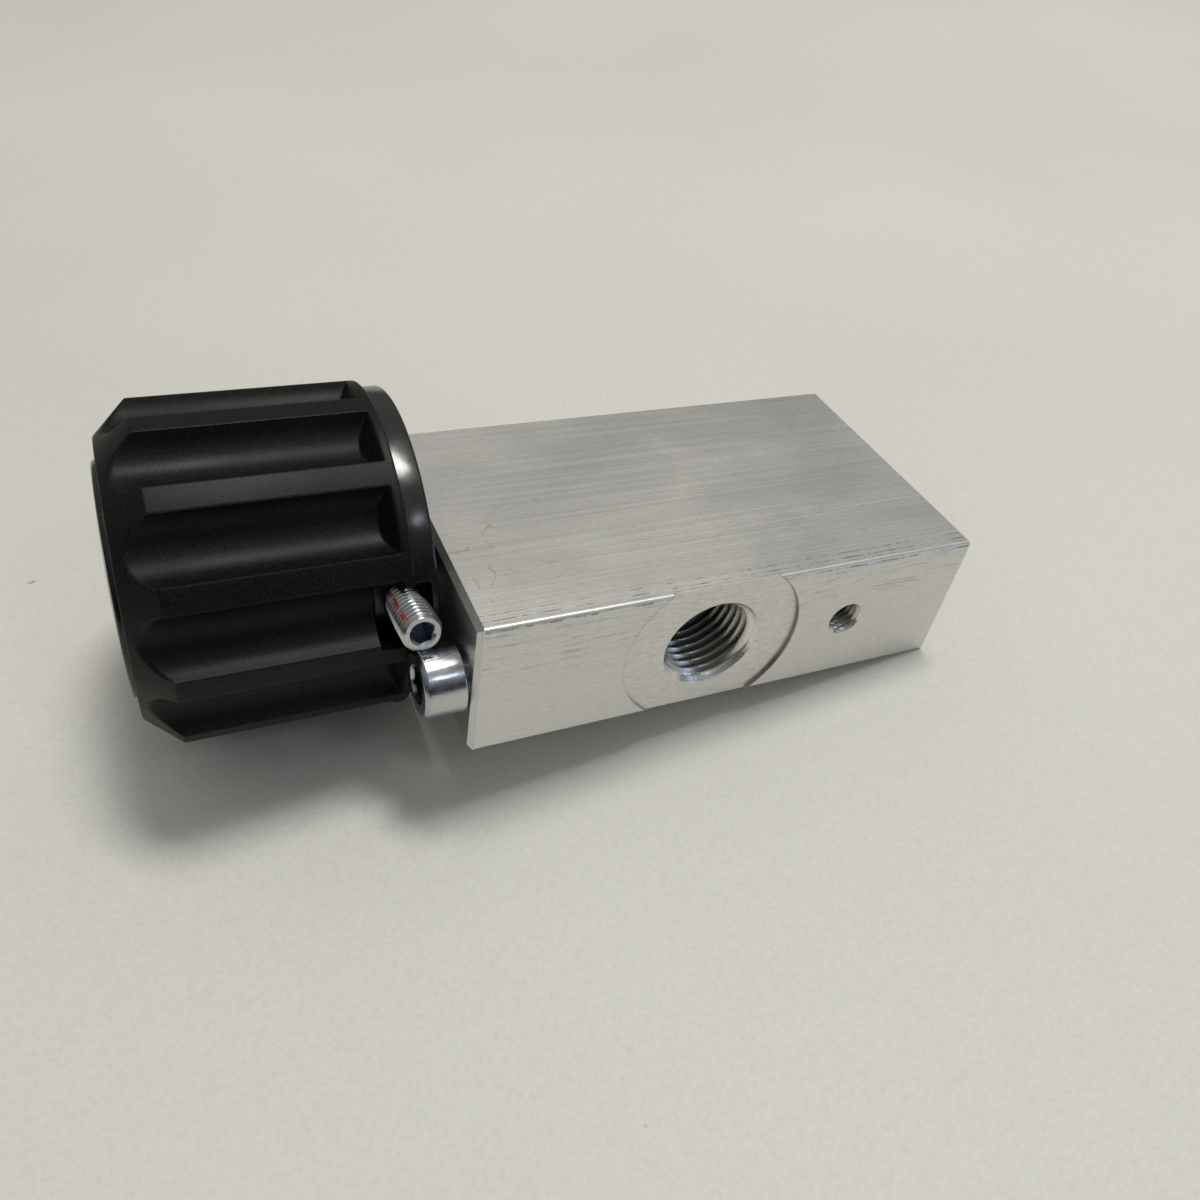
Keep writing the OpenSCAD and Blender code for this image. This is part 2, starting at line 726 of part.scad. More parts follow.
module flutes() {
    pitch = 360 / flute_count;
    difference() {
        for (k = [0:flute_count - 1])
            radial(first_ridge + pitch * (k + 0.5), 0)
                translate([knob_front_x - over, 0, flute_ring_r])
                    rotate([0, 90, 0])
                        cylinder(r = flute_r, h = knob_rear_x - knob_front_x + over);
        flute_ends();
    }
}

// Hollow between the boss and the wall, crossed by the ribs
module knob_hollow() {
    difference() {
        ring(knob_hollow_r, knob_boss_r, hub_end_x, hub_disc_x);
        for (k = [0:rib_count - 1])
            radial(360 / rib_count * k, hub_end_x - over)
                translate([0, -rib_t / 2, 0])
                    cube([hub_disc_x - hub_end_x + 2 * over, rib_t, knob_hollow_r + over]);
    }
}

// Socket in the boss for the hub's stem
module stem_socket() {
    intersection() {
        round_bar(hub_stem_r + seat_gap, hub_end_x, hub_disc_x + over);
        translate([hub_end_x - over, spindle_y - hub_flats / 2 - seat_gap, -hub_stem_r - over])
            cube([hub_disc_x - hub_end_x + 2 * over, hub_flats + 2 * seat_gap, 2 * (hub_stem_r + over)]);
    }
}

module knob() {
    color([0.12, 0.12, 0.12])
        difference() {
            knob_blank();
            flutes();
            knob_hollow();
            stem_socket();
            round_bar(knob_step_r, hub_disc_x, collar_front_x + over);
            round_bar(cap_recess_r, knob_front_x - over, recess_floor_x);
            round_bar(centre_r + centre_play, recess_floor_x - over, hub_end_x + over);
            set_screw_pocket(knob_pocket_r);
        }
}

// Domed cap with a round-edged rim and a skirt in the knob's recess
module knob_cap() {
    steps = 12;
    apex_x = knob_front_x - cap_rim_t - cap_dome;
    dome_rim_r = cap_r - cap_edge_r;
    dome = [for (i = [0:steps])
                let (r = dome_rim_r * i / steps)
                    [r, apex_x + cap_dome * pow(r / dome_rim_r, 2)]];
    rounding = [for (a = [15:15:90])
                    [dome_rim_r + cap_edge_r * sin(a),
                     knob_front_x - cap_rim_t + cap_edge_r * (1 - cos(a))]];
    skirt_x = knob_front_x + cap_skirt_l;
    skirt_r = cap_recess_r - seat_gap;
    inner_x = knob_front_x + cap_inset;
    color([0.05, 0.05, 0.06])
        turned(concat(dome, rounding, [[cap_r, knob_front_x], [skirt_r, knob_front_x], [skirt_r, skirt_x],
                      [skirt_r - cap_skirt_t, skirt_x], [skirt_r - cap_skirt_t, inner_x], [0, inner_x]]));
}

// Button head screw in the middle of the knob
module knob_screw() {
    head_x = recess_floor_x - washer_t;
    flat_from = 60;
    crown = [for (a = [flat_from:-15:0])
                 [centre_head_r * cos(a), head_x - centre_head_h * sin(a) / sin(flat_from)]];
    color("gainsboro")
        difference() {
            turned(concat([[0, head_x - centre_head_h]], crown,
                          [[centre_r, head_x], [centre_r, head_x + centre_l], [0, head_x + centre_l]]));
            translate([head_x - centre_head_h - eps, spindle_y, 0])
                rotate([0, 90, 0])
                    hex_socket(centre_socket, centre_socket_depth + eps);
        }
}

module knob_washer() {
    color("silver")
        ring(washer_r, centre_r + centre_play, recess_floor_x - washer_t, recess_floor_x);
}

// Set screw: clamps the collar to the spindle, and its outer end meets the stop
module stop_set_screw() {
    color("gainsboro")
        radial(set_angle, -set_from_end)
            translate([0, 0, set_start])
                difference() {
                    bevelled_rod(set_r, set_l, set_bevel);
                    translate([0, 0, set_l - set_socket_depth])
                        hex_socket(set_socket, set_socket_depth + eps);
                }
}

valve_body();
throttle_sleeve();
sleeve_seals();
gland_bush();
gland_seal();
spindle_seal();
backup_ring();
wiper_ring();
thrust_washer();
stop_screw();
spool_stop_ring();
compensator_spring();
spring_seat();
compensator_spool();
spindle();
stop_collar();
knob();
knob_cap();
knob_screw();
knob_washer();
stop_set_screw();
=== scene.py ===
"""Looks of the rotary flow control valve: a tapped aluminium bar with a fluted knob and a screw stop.

Everything is in metres in the part's frame: the origin is the centre of the bar's knob-side end face,
+X runs along the bar away from the knob, -Y is the face with the inlet port, +Z is up.
Angles about the spindle start at +Z and turn towards -Y.
"""

import json
import math

import bmesh
import bpy
from mathutils import Matrix, Vector


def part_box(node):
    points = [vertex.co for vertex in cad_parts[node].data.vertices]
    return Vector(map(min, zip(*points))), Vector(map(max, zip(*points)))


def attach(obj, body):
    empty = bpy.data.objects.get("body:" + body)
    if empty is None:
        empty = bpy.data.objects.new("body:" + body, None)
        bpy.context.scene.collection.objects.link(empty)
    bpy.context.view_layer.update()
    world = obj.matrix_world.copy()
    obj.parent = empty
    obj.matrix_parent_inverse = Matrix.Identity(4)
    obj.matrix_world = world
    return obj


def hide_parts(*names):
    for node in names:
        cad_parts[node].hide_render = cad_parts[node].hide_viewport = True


MM = 0.001

# ---------------------------------------------------------------- the frame

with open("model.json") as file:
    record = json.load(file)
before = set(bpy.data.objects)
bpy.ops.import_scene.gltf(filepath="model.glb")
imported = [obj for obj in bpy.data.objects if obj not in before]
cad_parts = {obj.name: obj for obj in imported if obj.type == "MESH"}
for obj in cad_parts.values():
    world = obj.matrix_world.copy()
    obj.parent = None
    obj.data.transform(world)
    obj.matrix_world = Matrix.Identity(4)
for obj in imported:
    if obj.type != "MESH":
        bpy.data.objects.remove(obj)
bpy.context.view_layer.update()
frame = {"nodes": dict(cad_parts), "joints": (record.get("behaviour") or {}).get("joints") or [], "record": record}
nodes = frame["nodes"]
mounts = {mount["name"]: mount for mount in frame["record"]["mounts"]}
joints = {joint["name"]: joint for joint in frame["joints"]}

FIXED, TURNING = "body", "knob_and_spindle"

bar_low, bar_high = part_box("valve_body")
knob_low, knob_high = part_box("knob")
collar_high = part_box("stop_collar")[1]
cap_low, cap_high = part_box("knob_cap")
head_low, head_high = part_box("stop_screw")

AXIS = Vector(joints["knob_turn"]["pos_m"])
KNOB_R = knob_high.z
COLLAR_R = collar_high.z
CAP_R = cap_high.z

# Sizes that the frame's boxes don't tell, as in the part's source.
# The ports' spot faces and G1/4 threads, the fixing hole, and M5 threads
SEAT_R, SEAT_DEPTH = 12.5 * MM, 0.45 * MM
PORT_MOUTH_R, PORT_DEPTH = 6.8 * MM, 12 * MM
PORT_MAJOR_R, PORT_PITCH = 6.5785 * MM, 1.337 * MM
FIXING_MOUTH_R, FIXING_DEPTH = 2.6 * MM, 12 * MM
M5_R, M5_MINOR_R, M5_PITCH = 2.5 * MM, 2.02 * MM, 0.8 * MM
# The knob: front bevel, rear rim, flutes with slanted end walls, and the room inside it
BEVEL = 4.1 * MM
RIM_W, RIM_BEVEL = 0.9 * MM, 0.2 * MM
FLUTES, FLUTE_R, FLUTE_RING_R = 12, 4.27 * MM, 22.47 * MM
FLUTE_SLANT = 1.6 * MM
FIRST_RIDGE = math.radians(-30.5)
HUB_R, HUB_T, STEM_R, STEM_L = 17.0 * MM, 4.0 * MM, 9.02 * MM, 19.0 * MM
SPINDLE_R = 5.02 * MM
CAP_RECESS_R, KNOB_WEB, SCREW_HOLE_R = 13.2 * MM, 3.0 * MM, 2.15 * MM
CAP_RIM_T, CAP_EDGE_R = 0.7 * MM, 0.5 * MM
# The set screw along its radius, and the pocket around it
SET_X, SET_START, SET_L = -4.5 * MM, 5.02 * MM, 20 * MM
SET_FLATS, SET_SOCKET_DEPTH = 2.5 * MM, 2.7 * MM
POCKET_W, POCKET_FRONT, POCKET_REAR = 7.8 * MM, 4.0 * MM, 2.65 * MM
# The stop screw, and the gap at rest between its head and the set screw's side
HEAD_R, HEAD_H, HEAD_BEVEL = 4.25 * MM, 5 * MM, 0.5 * MM
HEAD_FLATS, HEAD_SOCKET_DEPTH = 4 * MM, 2.6 * MM
SHANK_L, REST_GAP = 12 * MM, 0.03 * MM

# Only in what is shown: the space between pieces that would share a surface,
# and the columns around a tapped hole
FIT_GAP = 0.02 * MM
TAP_COLUMNS = 96

STOP_Y = (head_low.y + head_high.y) / 2
STOP_Z = (head_low.z + head_high.z) / 2
STOP_REACH = math.hypot(STOP_Y - AXIS.y, STOP_Z)
STOP_ANGLE = math.atan2(AXIS.y - STOP_Y, STOP_Z)
SET_ANGLE = STOP_ANGLE - math.asin((HEAD_R + M5_R + REST_GAP) / STOP_REACH)
SET_OUT = Vector((0, -math.sin(SET_ANGLE), math.cos(SET_ANGLE)))
SET_MOUTH = Vector((SET_X, AXIS.y, 0)) + SET_OUT * (SET_START + SET_L)

# ---------------------------------------------------------------- mesh helpers


def link(name, data):
    """Puts a mesh, a lamp or a camera in the scene as an object."""
    piece = bpy.data.objects.new(name, data)
    bpy.context.scene.collection.objects.link(piece)
    return piece


def mesh_from(name, points, faces, smooth_angle=40):
    """An object from points and faces, shaded smooth up to an angle in degrees."""
    mesh = bpy.data.meshes.new(name)
    mesh.from_pydata(points, [], faces)
    mesh.validate()
    build = bmesh.new()
    build.from_mesh(mesh)
    bmesh.ops.remove_doubles(build, verts=build.verts, dist=0.5e-6)
    bmesh.ops.recalc_face_normals(build, faces=build.faces)
    build.to_mesh(mesh)
    build.free()
    shade(mesh, smooth_angle)
    return link(name, mesh)


def shade(mesh, smooth_angle):
    """Smooth faces, with sharp edges where the surface turns by more than the angle."""
    for face in mesh.polygons:
        face.use_smooth = True
    mesh.set_sharp_from_angle(angle=math.radians(smooth_angle))


def grid_faces(rows, columns, closed_rows=False):
    """Quads of a grid whose columns close into a ring, and whose rows may close too."""
    faces = []
    for i in range(rows if closed_rows else rows - 1):
        for j in range(columns):
            here, above = i * columns, (i + 1) % rows * columns
            beside = (j + 1) % columns
            faces.append((here + j, here + beside, above + beside, above + j))
    return faces


def arc(centre, radius, start, end, steps):
    """Points of an arc in the (along, radius) plane, with angles in degrees from +along to +radius."""
    points = []
    for k in range(steps + 1):
        a = math.radians(start + (end - start) * k / steps)
        points.append((centre[0] + radius * math.cos(a), centre[1] + radius * math.sin(a)))
    return points


def ring(radius, along, columns, turn=0.0):
    """Points evenly spaced around local Z."""
    points = []
    for j in range(columns):
        a = 2 * math.pi * j / columns + turn
        points.append((radius * math.cos(a), radius * math.sin(a), along))
    return points


def lathe(name, profile, place, columns):
    """A closed body of revolution about local Z, from (along, radius) points that form a loop."""
    points = [point for along, radius in profile for point in ring(radius, along, columns)]
    piece = mesh_from(name, points, grid_faces(len(profile), columns, closed_rows=True))
    piece.data.transform(place)
    return piece


def cut(piece, tool):
    """Takes the tool's solid away from the piece."""
    step = piece.modifiers.new("cut", "BOOLEAN")
    step.operation = "DIFFERENCE"
    step.solver = "EXACT"
    step.object = tool
    apply_modifiers(piece)
    bpy.data.objects.remove(tool)


def flat_shaded_planes(piece, smooth_angle):
    """Shades the planes that face along an axis flat, and what is between them smooth."""
    shade(piece.data, smooth_angle)
    for face in piece.data.polygons:
        if max(abs(part) for part in face.normal) > 0.99999:
            face.use_smooth = False


def apply_modifiers(piece):
    """Makes what the modifiers give the piece's own mesh."""
    bpy.context.view_layer.update()
    graph = bpy.context.evaluated_depsgraph_get()
    mesh = bpy.data.meshes.new_from_object(piece.evaluated_get(graph))
    piece.modifiers.clear()
    piece.data = mesh


def closed_sides(count):
    """Faces of a prism whose points are a low outline and then a high one."""
    sides = [(j, (j + 1) % count, count + (j + 1) % count, count + j) for j in range(count)]
    return sides + [tuple(range(count))[::-1], tuple(range(count, 2 * count))]


def prism(name, sides, radius, low, high, place, turn=0.0, low_radius=None):
    """A closed prism or cone along local Z, used as a cutting tool."""
    low_radius = radius if low_radius is None else low_radius
    points = ring(low_radius, low, sides, turn) + ring(radius, high, sides, turn)
    tool = mesh_from(name, points, closed_sides(sides))
    tool.data.transform(place)
    return tool


def along_axis():
    """Local Z along +X on the spindle axis, local X up, so local angles count as the part's do."""
    turn = Matrix(((0, 0, 1), (0, -1, 0), (1, 0, 0))).to_4x4()
    return Matrix.Translation((0, AXIS.y, 0)) @ turn


def radial(angle, x):
    """Local Z along a radius of the spindle."""
    return Matrix.Translation((x, AXIS.y, 0)) @ Matrix.Rotation(angle, 4, "X")


def out_of(mount_name, depth=0.0):
    """Local Z along a mount's axis, with z = 0 at the bar's face it opens in, less the depth."""
    mount = mounts[mount_name]
    axis = Vector(mount["axis"])
    place = Vector(mount["pos_m"])
    corner = Vector([max(axis[k] * bar_low[k], axis[k] * bar_high[k]) for k in range(3)])
    reach = sum(corner) - place.dot(axis)
    turn = Vector((0, 0, 1)).rotation_difference(axis).to_matrix().to_4x4()
    return Matrix.Translation(place + axis * (reach - depth)) @ turn


# ---------------------------------------------------------------- material helpers


class Paint:
    """A small builder for a procedural material."""

    def __init__(self, name, colour, metallic=0.0, roughness=0.5, **sockets):
        self.material = bpy.data.materials.new(name)
        self.material.use_nodes = True
        self.tree = self.material.node_tree
        self.shader = self.tree.nodes["Principled BSDF"]
        self.shader.inputs["Base Color"].default_value = (*colour, 1)
        self.shader.inputs["Metallic"].default_value = metallic
        self.shader.inputs["Roughness"].default_value = roughness
        for socket, value in sockets.items():
            self.shader.inputs[socket.replace("_", " ")].default_value = value
        self.height = None
        self.point = self.node("ShaderNodeTexCoord").outputs["Object"]

    def node(self, kind, **values):
        """Adds a node and sets its properties."""
        made = self.tree.nodes.new(kind)
        for key, value in values.items():
            setattr(made, key, value)
        return made

    def join(self, source, target):
        """Links an output to an input."""
        self.tree.links.new(source, target)

    def scaled(self, scale):
        """The object's own coordinates in metres, times a scale for each axis."""
        mapping = self.node("ShaderNodeMapping")
        mapping.inputs["Scale"].default_value = scale
        self.join(self.point, mapping.inputs["Vector"])
        return mapping.outputs["Vector"]

    def noise(self, scale, detail=3.0, roughness=0.5, distortion=0.0):
        """Noise with features per metre along each axis."""
        made = self.node("ShaderNodeTexNoise")
        made.inputs["Scale"].default_value = 1.0
        made.inputs["Detail"].default_value = detail
        made.inputs["Roughness"].default_value = roughness
        made.inputs["Distortion"].default_value = distortion
        self.join(self.scaled(scale), made.inputs["Vector"])
        return made.outputs["Fac"]

    def remap(self, value, low, high, to_low=0.0, to_high=1.0):
        """A value's stretch from low to high, spread over another stretch."""
        made = self.node("ShaderNodeMapRange")
        for key, number in (("From Min", low), ("From Max", high), ("To Min", to_low), ("To Max", to_high)):
            made.inputs[key].default_value = number
        self.join(value, made.inputs["Value"])
        return made.outputs["Result"]

    def math(self, operation, a, b=0.0, c=0.0):
        """An operation on values, each a socket or a number."""
        made = self.node("ShaderNodeMath", operation=operation)
        for socket, value in zip(made.inputs, (a, b, c)):
            if isinstance(value, (int, float)):
                socket.default_value = value
            else:
                self.join(value, socket)
        return made.outputs["Value"]

    def times(self, first, *others):
        """The product of two or more values."""
        for other in others:
            first = self.math("MULTIPLY", first, other)
        return first

    def off(self, value, place):
        """How far a value is from a place, to either side."""
        return self.math("ABSOLUTE", self.math("SUBTRACT", value, place))

    def vector(self, operation, a, b=None):
        """A vector operation on a socket, with a fixed vector, another socket or nothing."""
        made = self.node("ShaderNodeVectorMath", operation=operation)
        self.join(a, made.inputs[0])
        if isinstance(b, Vector):
            made.inputs[1].default_value = b
        elif b is not None:
            self.join(b, made.inputs[1])
        return made.outputs["Value" if operation in ("DOT_PRODUCT", "LENGTH") else "Vector"]

    def mix(self, factor, a, b):
        """A colour from a to b."""
        made = self.node("ShaderNodeMix", data_type="RGBA")
        self.join(factor, made.inputs["Factor"])
        for socket, value in (("A", a), ("B", b)):
            target = [s for s in made.inputs if s.name == socket and s.type == "RGBA"][0]
            if isinstance(value, tuple):
                target.default_value = (*value, 1)
            else:
                self.join(value, target)
        return [s for s in made.outputs if s.type == "RGBA"][0]

    def colour(self, source):
        """Lets a socket give the base colour."""
        self.join(source, self.shader.inputs["Base Color"])

    def rough(self, source):
        """Lets a socket give the roughness."""
        self.join(source, self.shader.inputs["Roughness"])

    def bump(self, height, distance):
        """Relief of a real height in metres, on top of what is there."""
        made = self.node("ShaderNodeBump")
        made.inputs["Distance"].default_value = distance
        made.inputs["Strength"].default_value = 1.0
        self.join(height, made.inputs["Height"])
        if self.height is not None:
            self.join(self.height, made.inputs["Normal"])
        self.height = made.outputs["Normal"]
        self.join(self.height, self.shader.inputs["Normal"])

    def edge_wear_and_highlight(self, width):
        """Near 1 where the surface turns a corner within the width, else 0."""
        bevel = self.node("ShaderNodeBevel", samples=4)
        bevel.inputs["Radius"].default_value = width
        flat = self.node("ShaderNodeNewGeometry").outputs["Normal"]
        return self.remap(self.vector("DOT_PRODUCT", bevel.outputs["Normal"], flat), 0.995, 0.9)

    def axial(self):
        """The part's x, y and z as separate values."""
        made = self.node("ShaderNodeSeparateXYZ")
        self.join(self.point, made.inputs["Vector"])
        return made.outputs

    def facing(self, axis):
        """1 where the surface faces along an axis of the part, either way, and 0 across it."""
        made = self.node("ShaderNodeSeparateXYZ")
        self.join(self.node("ShaderNodeNewGeometry").outputs["Normal"], made.inputs["Vector"])
        return self.math("ABSOLUTE", made.outputs[axis])


# ---------------------------------------------------------------- threads


def thread_wave(turns):
    """Height of a rounded thread from 0 at its roots to 1 at its crests, for a place in turns."""
    sharpness = 0.94
    return 0.5 + math.asin(sharpness * math.cos(2 * math.pi * turns)) / (2 * math.asin(sharpness))


def thread_rows(root_r, crest_r, pitch, start, end, limit, columns=TAP_COLUMNS, rows_per_turn=14):
    """Points of a right-hand thread about +Z whose rows follow the helix, clamped to start and end.
    limit(along, radius) bounds the radius, for a countersink or a bevelled end."""
    step = pitch / rows_per_turn
    count = math.ceil((end - start) / step) + rows_per_turn + 1
    rows = []
    for i in range(count):
        row = []
        for j in range(columns + 1):
            along = start + (i - rows_per_turn) * step + pitch * j / columns
            place = min(max(along, start), end)
            wave = thread_wave((place - start) / pitch - j / columns)
            radius = limit(place, root_r + (crest_r - root_r) * wave)
            a = 2 * math.pi * j / columns
            row.append((radius * math.cos(a), radius * math.sin(a), place))
        rows.append(row)
    return rows


def strip_faces(rows):
    """Quads between rows of points that don't close into a ring."""
    width = len(rows[0])
    faces = []
    for i in range(len(rows) - 1):
        for j in range(width - 1):
            here, above = i * width + j, (i + 1) * width + j
            faces.append((here, here + 1, above + 1, above))
    return faces


def flat_row(radius, along):
    """One ring of points around a tapped hole, with its first point repeated."""
    row = []
    for j in range(TAP_COLUMNS + 1):
        a = 2 * math.pi * j / TAP_COLUMNS
        row.append((radius * math.cos(a), radius * math.sin(a), along))
    return row


def thread_liner(name, root_r, crest_r, pitch, depth, mouth_r, place):
    """A tapped wall along -Z from its countersunk mouth at z = 0, as a thin closed sleeve."""
    def countersink(along, radius):
        return max(radius, mouth_r + along)

    rows = thread_rows(root_r, crest_r, pitch, -depth, 0, countersink)
    sleeve = rows + [flat_row(mouth_r, 0), flat_row(mouth_r, -depth), rows[0]]
    points = [point for row in sleeve for point in row]
    piece = mesh_from(name, points, strip_faces(sleeve), smooth_angle=50)
    piece.data.transform(place)
    return piece


# ---------------------------------------------------------------- the pieces


def rounded_path(corners, steps=5):
    """A closed path through (along, radius, fillet) corners, with each corner rounded by its fillet."""
    path = []
    count = len(corners)
    for k, (x, r, fillet) in enumerate(corners):
        here = Vector((x, r))
        if fillet == 0:
            path.append((x, r))
            continue
        before = (Vector(corners[k - 1][:2]) - here).normalized()
        after = (Vector(corners[(k + 1) % count][:2]) - here).normalized()
        half = math.acos(max(-1, min(1, before.dot(after)))) / 2
        reach = fillet / math.tan(half)
        centre = here + (before + after).normalized() * (fillet / math.sin(half))
        start = here + before * reach - centre
        end = here + after * reach - centre
        first = math.atan2(start.y, start.x)
        turn = (math.atan2(end.y, end.x) - first + math.pi) % (2 * math.pi) - math.pi
        for s in range(steps + 1):
            a = first + turn * s / steps
            path.append((centre.x + fillet * math.cos(a), centre.y + fillet * math.sin(a)))
    return path


def bar():
    """The bar with room for its tapped walls, whose threads are sleeves of their own."""
    solid = nodes["valve_body"].data
    piece = mesh_from("bar", [vertex.co[:] for vertex in solid.vertices],
                      [face.vertices[:] for face in solid.polygons])
    over = 0.5 * MM
    for mount, radius, depth, sink in (("inlet_port", PORT_MOUTH_R, PORT_DEPTH, SEAT_DEPTH),
                                       ("outlet_port", PORT_MOUTH_R, PORT_DEPTH, SEAT_DEPTH),
                                       ("fixing_hole", FIXING_MOUTH_R, FIXING_DEPTH, 0)):
        cut(piece, prism("room", TAP_COLUMNS, radius, -depth, over, out_of(mount, sink)))
    flat_shaded_planes(piece, 35)
    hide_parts("valve_body")
    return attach(piece, FIXED)


def tapped_walls():
    """The threads of both ports and of the fixing hole."""
    walls = []
    for mount in ("inlet_port", "outlet_port"):
        walls.append(thread_liner(mount + "_thread", PORT_MAJOR_R, mounts[mount]["dims"]["r_mm"] * MM,
                                  PORT_PITCH, PORT_DEPTH, PORT_MOUTH_R, out_of(mount, SEAT_DEPTH)))
    walls.append(thread_liner("fixing_thread", M5_R, mounts["fixing_hole"]["dims"]["r_mm"] * MM,
                              M5_PITCH, FIXING_DEPTH, FIXING_MOUTH_R, out_of("fixing_hole")))
    for wall in walls:
        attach(wall, FIXED)
    return walls


def flute_floor(offset):
    """Distance of a flute's surface from the knob's axis, at an angle off the flute's middle."""
    across = FLUTE_RING_R * math.sin(offset)
    if abs(across) >= FLUTE_R:
        return None
    return FLUTE_RING_R * math.cos(offset) - math.sqrt(FLUTE_R ** 2 - across ** 2)


def smooth_min(a, b, blend):
    """The smaller of two radii, with the corner between them rounded off."""
    near = max(blend - abs(a - b), 0) / blend
    return min(a, b) - near * near * blend / 4


def knob_columns():
    """Angles off a flute's middle, closer together near the ridges' edges, in degrees."""
    half = [0, 1.5, 3, 4.5, 5.8, 7, 8, 8.8, 9.4, 9.8, 10.2, 10.5, 10.8, 11.1, 11.5, 12.1, 13, 14]
    return [-a for a in half[:0:-1]] + half + [15]


def knob():
    """Fluted knob: a turned outside whose radius the flutes cut down, with softly moulded edges."""
    edge = 0.35 * MM
    front, rear = knob_low.x, knob_high.x
    bevel_end = front + BEVEL
    rim_end = rear - RIM_BEVEL
    wall_end = rim_end - RIM_W
    wall_start = wall_end - FLUTE_SLANT
    # Rows that let the flutes shape the outside: on the bevel, along the side and on the end walls
    bevel_rows = [(front + BEVEL * k / 18, KNOB_R - BEVEL + BEVEL * k / 18, 0) for k in range(2, 17)]
    side_rows = [(bevel_end + (wall_start - bevel_end) * k / 7, KNOB_R, 0) for k in range(1, 7)]
    wall_rows = [(wall_start + (wall_end - wall_start) * k / 24, KNOB_R, 0) for k in range(-2, 27)]
    hub_x = rear - HUB_T
    stem_x = hub_x - STEM_L
    corners = [(front, CAP_RECESS_R, 0), (front, KNOB_R - BEVEL, 0.4 * MM)] + bevel_rows
    corners += [(bevel_end, KNOB_R, 0.5 * MM)] + side_rows + wall_rows
    corners += [(rim_end, KNOB_R, 0.1 * MM), (rear, KNOB_R - RIM_BEVEL, 0.08 * MM),
                (rear, HUB_R + FIT_GAP, 0), (hub_x, HUB_R + FIT_GAP, 0),
                (hub_x, STEM_R, 0), (stem_x, STEM_R, 0),
                (stem_x, SCREW_HOLE_R, 0), (stem_x - KNOB_WEB, SCREW_HOLE_R, 0),
                (stem_x - KNOB_WEB, CAP_RECESS_R, 0)]
    path = rounded_path(corners)
    pitch = 2 * math.pi / FLUTES
    angles = [(k + 0.5) * pitch + math.radians(a) for k in range(FLUTES) for a in knob_columns()]
    offsets = [math.radians(a) for a in knob_columns()] * FLUTES
    points = []
    for x, r in path:
        end_wall = KNOB_R - (wall_end - x) / FLUTE_SLANT * (KNOB_R - FLUTE_RING_R + FLUTE_R)
        for angle, offset in zip(angles, offsets):
            floor = flute_floor(offset)
            radius = r
            if floor is not None and r > KNOB_R - BEVEL:
                radius = smooth_min(r, -smooth_min(-floor, -end_wall, edge), edge)
            a = FIRST_RIDGE + angle
            points.append((x, AXIS.y - radius * math.sin(a), radius * math.cos(a)))
    piece = mesh_from("fluted_knob", points, grid_faces(len(path), len(angles), closed_rows=True), 35)
    pocket(piece, math.sqrt(HUB_R ** 2 - (POCKET_W / 2) ** 2))
    shade(piece.data, 35)
    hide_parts("knob")
    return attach(piece, TURNING)


def pocket(piece, floor_r):
    """Cuts the pocket around the set screw, outwards from a floor at a distance from the axis."""
    rounding = 0.5 * MM
    outline = []
    for x, y, first in ((POCKET_REAR, POCKET_W / 2, 0), (-POCKET_FRONT, POCKET_W / 2, 90),
                        (-POCKET_FRONT, -POCKET_W / 2, 180), (POCKET_REAR, -POCKET_W / 2, 270)):
        centre = (x - math.copysign(rounding, x), y - math.copysign(rounding, y))
        outline += arc(centre, rounding, first, first + 90, steps=4)
    points = [(x, y, along) for along in (floor_r, KNOB_R + MM) for x, y in outline]
    tool = mesh_from("pocket", points, closed_sides(len(outline)))
    tool.data.transform(radial(SET_ANGLE, SET_X))
    cut(piece, tool)


def cap():
    """Domed cap in the knob's front, with a softly rounded edge."""
    steps = 24
    apex, rim_x = cap_low.x, knob_low.x
    dome_x = rim_x - CAP_RIM_T
    dome_r = CAP_R - CAP_EDGE_R
    dome = [(apex + (dome_x - apex) * (k / steps) ** 2, dome_r * k / steps) for k in range(steps)]
    edge = arc((dome_x + CAP_EDGE_R, dome_r), CAP_EDGE_R, 180, 90, steps=8)
    skirt_r, skirt_t = CAP_RECESS_R - FIT_GAP, 1.1 * MM
    under_x = rim_x + 0.3 * MM
    inside = [(rim_x, CAP_R), (rim_x, skirt_r), (cap_high.x, skirt_r), (cap_high.x, skirt_r - skirt_t),
              (under_x, skirt_r - skirt_t), (under_x, 0)]
    piece = lathe("knob_front_cap", dome + edge + inside, along_axis(), columns=192)
    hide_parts("knob_cap")
    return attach(piece, TURNING)


def collar():
    """Glossy collar with its hub, drilled for the set screw and pocketed around it."""
    rear, disc_x = collar_high.x, knob_high.x - HUB_T
    stem_x = disc_x - STEM_L
    corners = [(rear, SPINDLE_R, 0.1 * MM), (rear, COLLAR_R, 0.3 * MM), (knob_high.x, COLLAR_R, 0.1 * MM),
               (knob_high.x, HUB_R, 0), (disc_x, HUB_R, 0), (disc_x, STEM_R - FIT_GAP, 0),
               (stem_x, STEM_R - FIT_GAP, 0), (stem_x, SPINDLE_R, 0)]
    piece = lathe("collar", rounded_path(corners), along_axis(), columns=256)
    cut(piece, prism("hole", 64, M5_R + FIT_GAP, SPINDLE_R - MM, COLLAR_R + MM, radial(SET_ANGLE, SET_X)))
    pocket(piece, HUB_R)
    shade(piece.data, 30)
    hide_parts("stop_collar")
    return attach(piece, TURNING)


def hexagon_socket(piece, flats, depth, top, place, turn):
    """A hexagon socket that opens at local z = top, with a small bevel at its mouth."""
    radius = flats / math.cos(math.pi / 6) / 2
    mouth = radius + 0.15 * MM
    by_flats = radius * 0.88
    cut(piece, prism("hexagon", 6, radius, top - depth, top + MM, place, turn))
    cut(piece, prism("mouth", 48, mouth + MM, top - (mouth - by_flats), top + MM, place,
                     low_radius=by_flats))


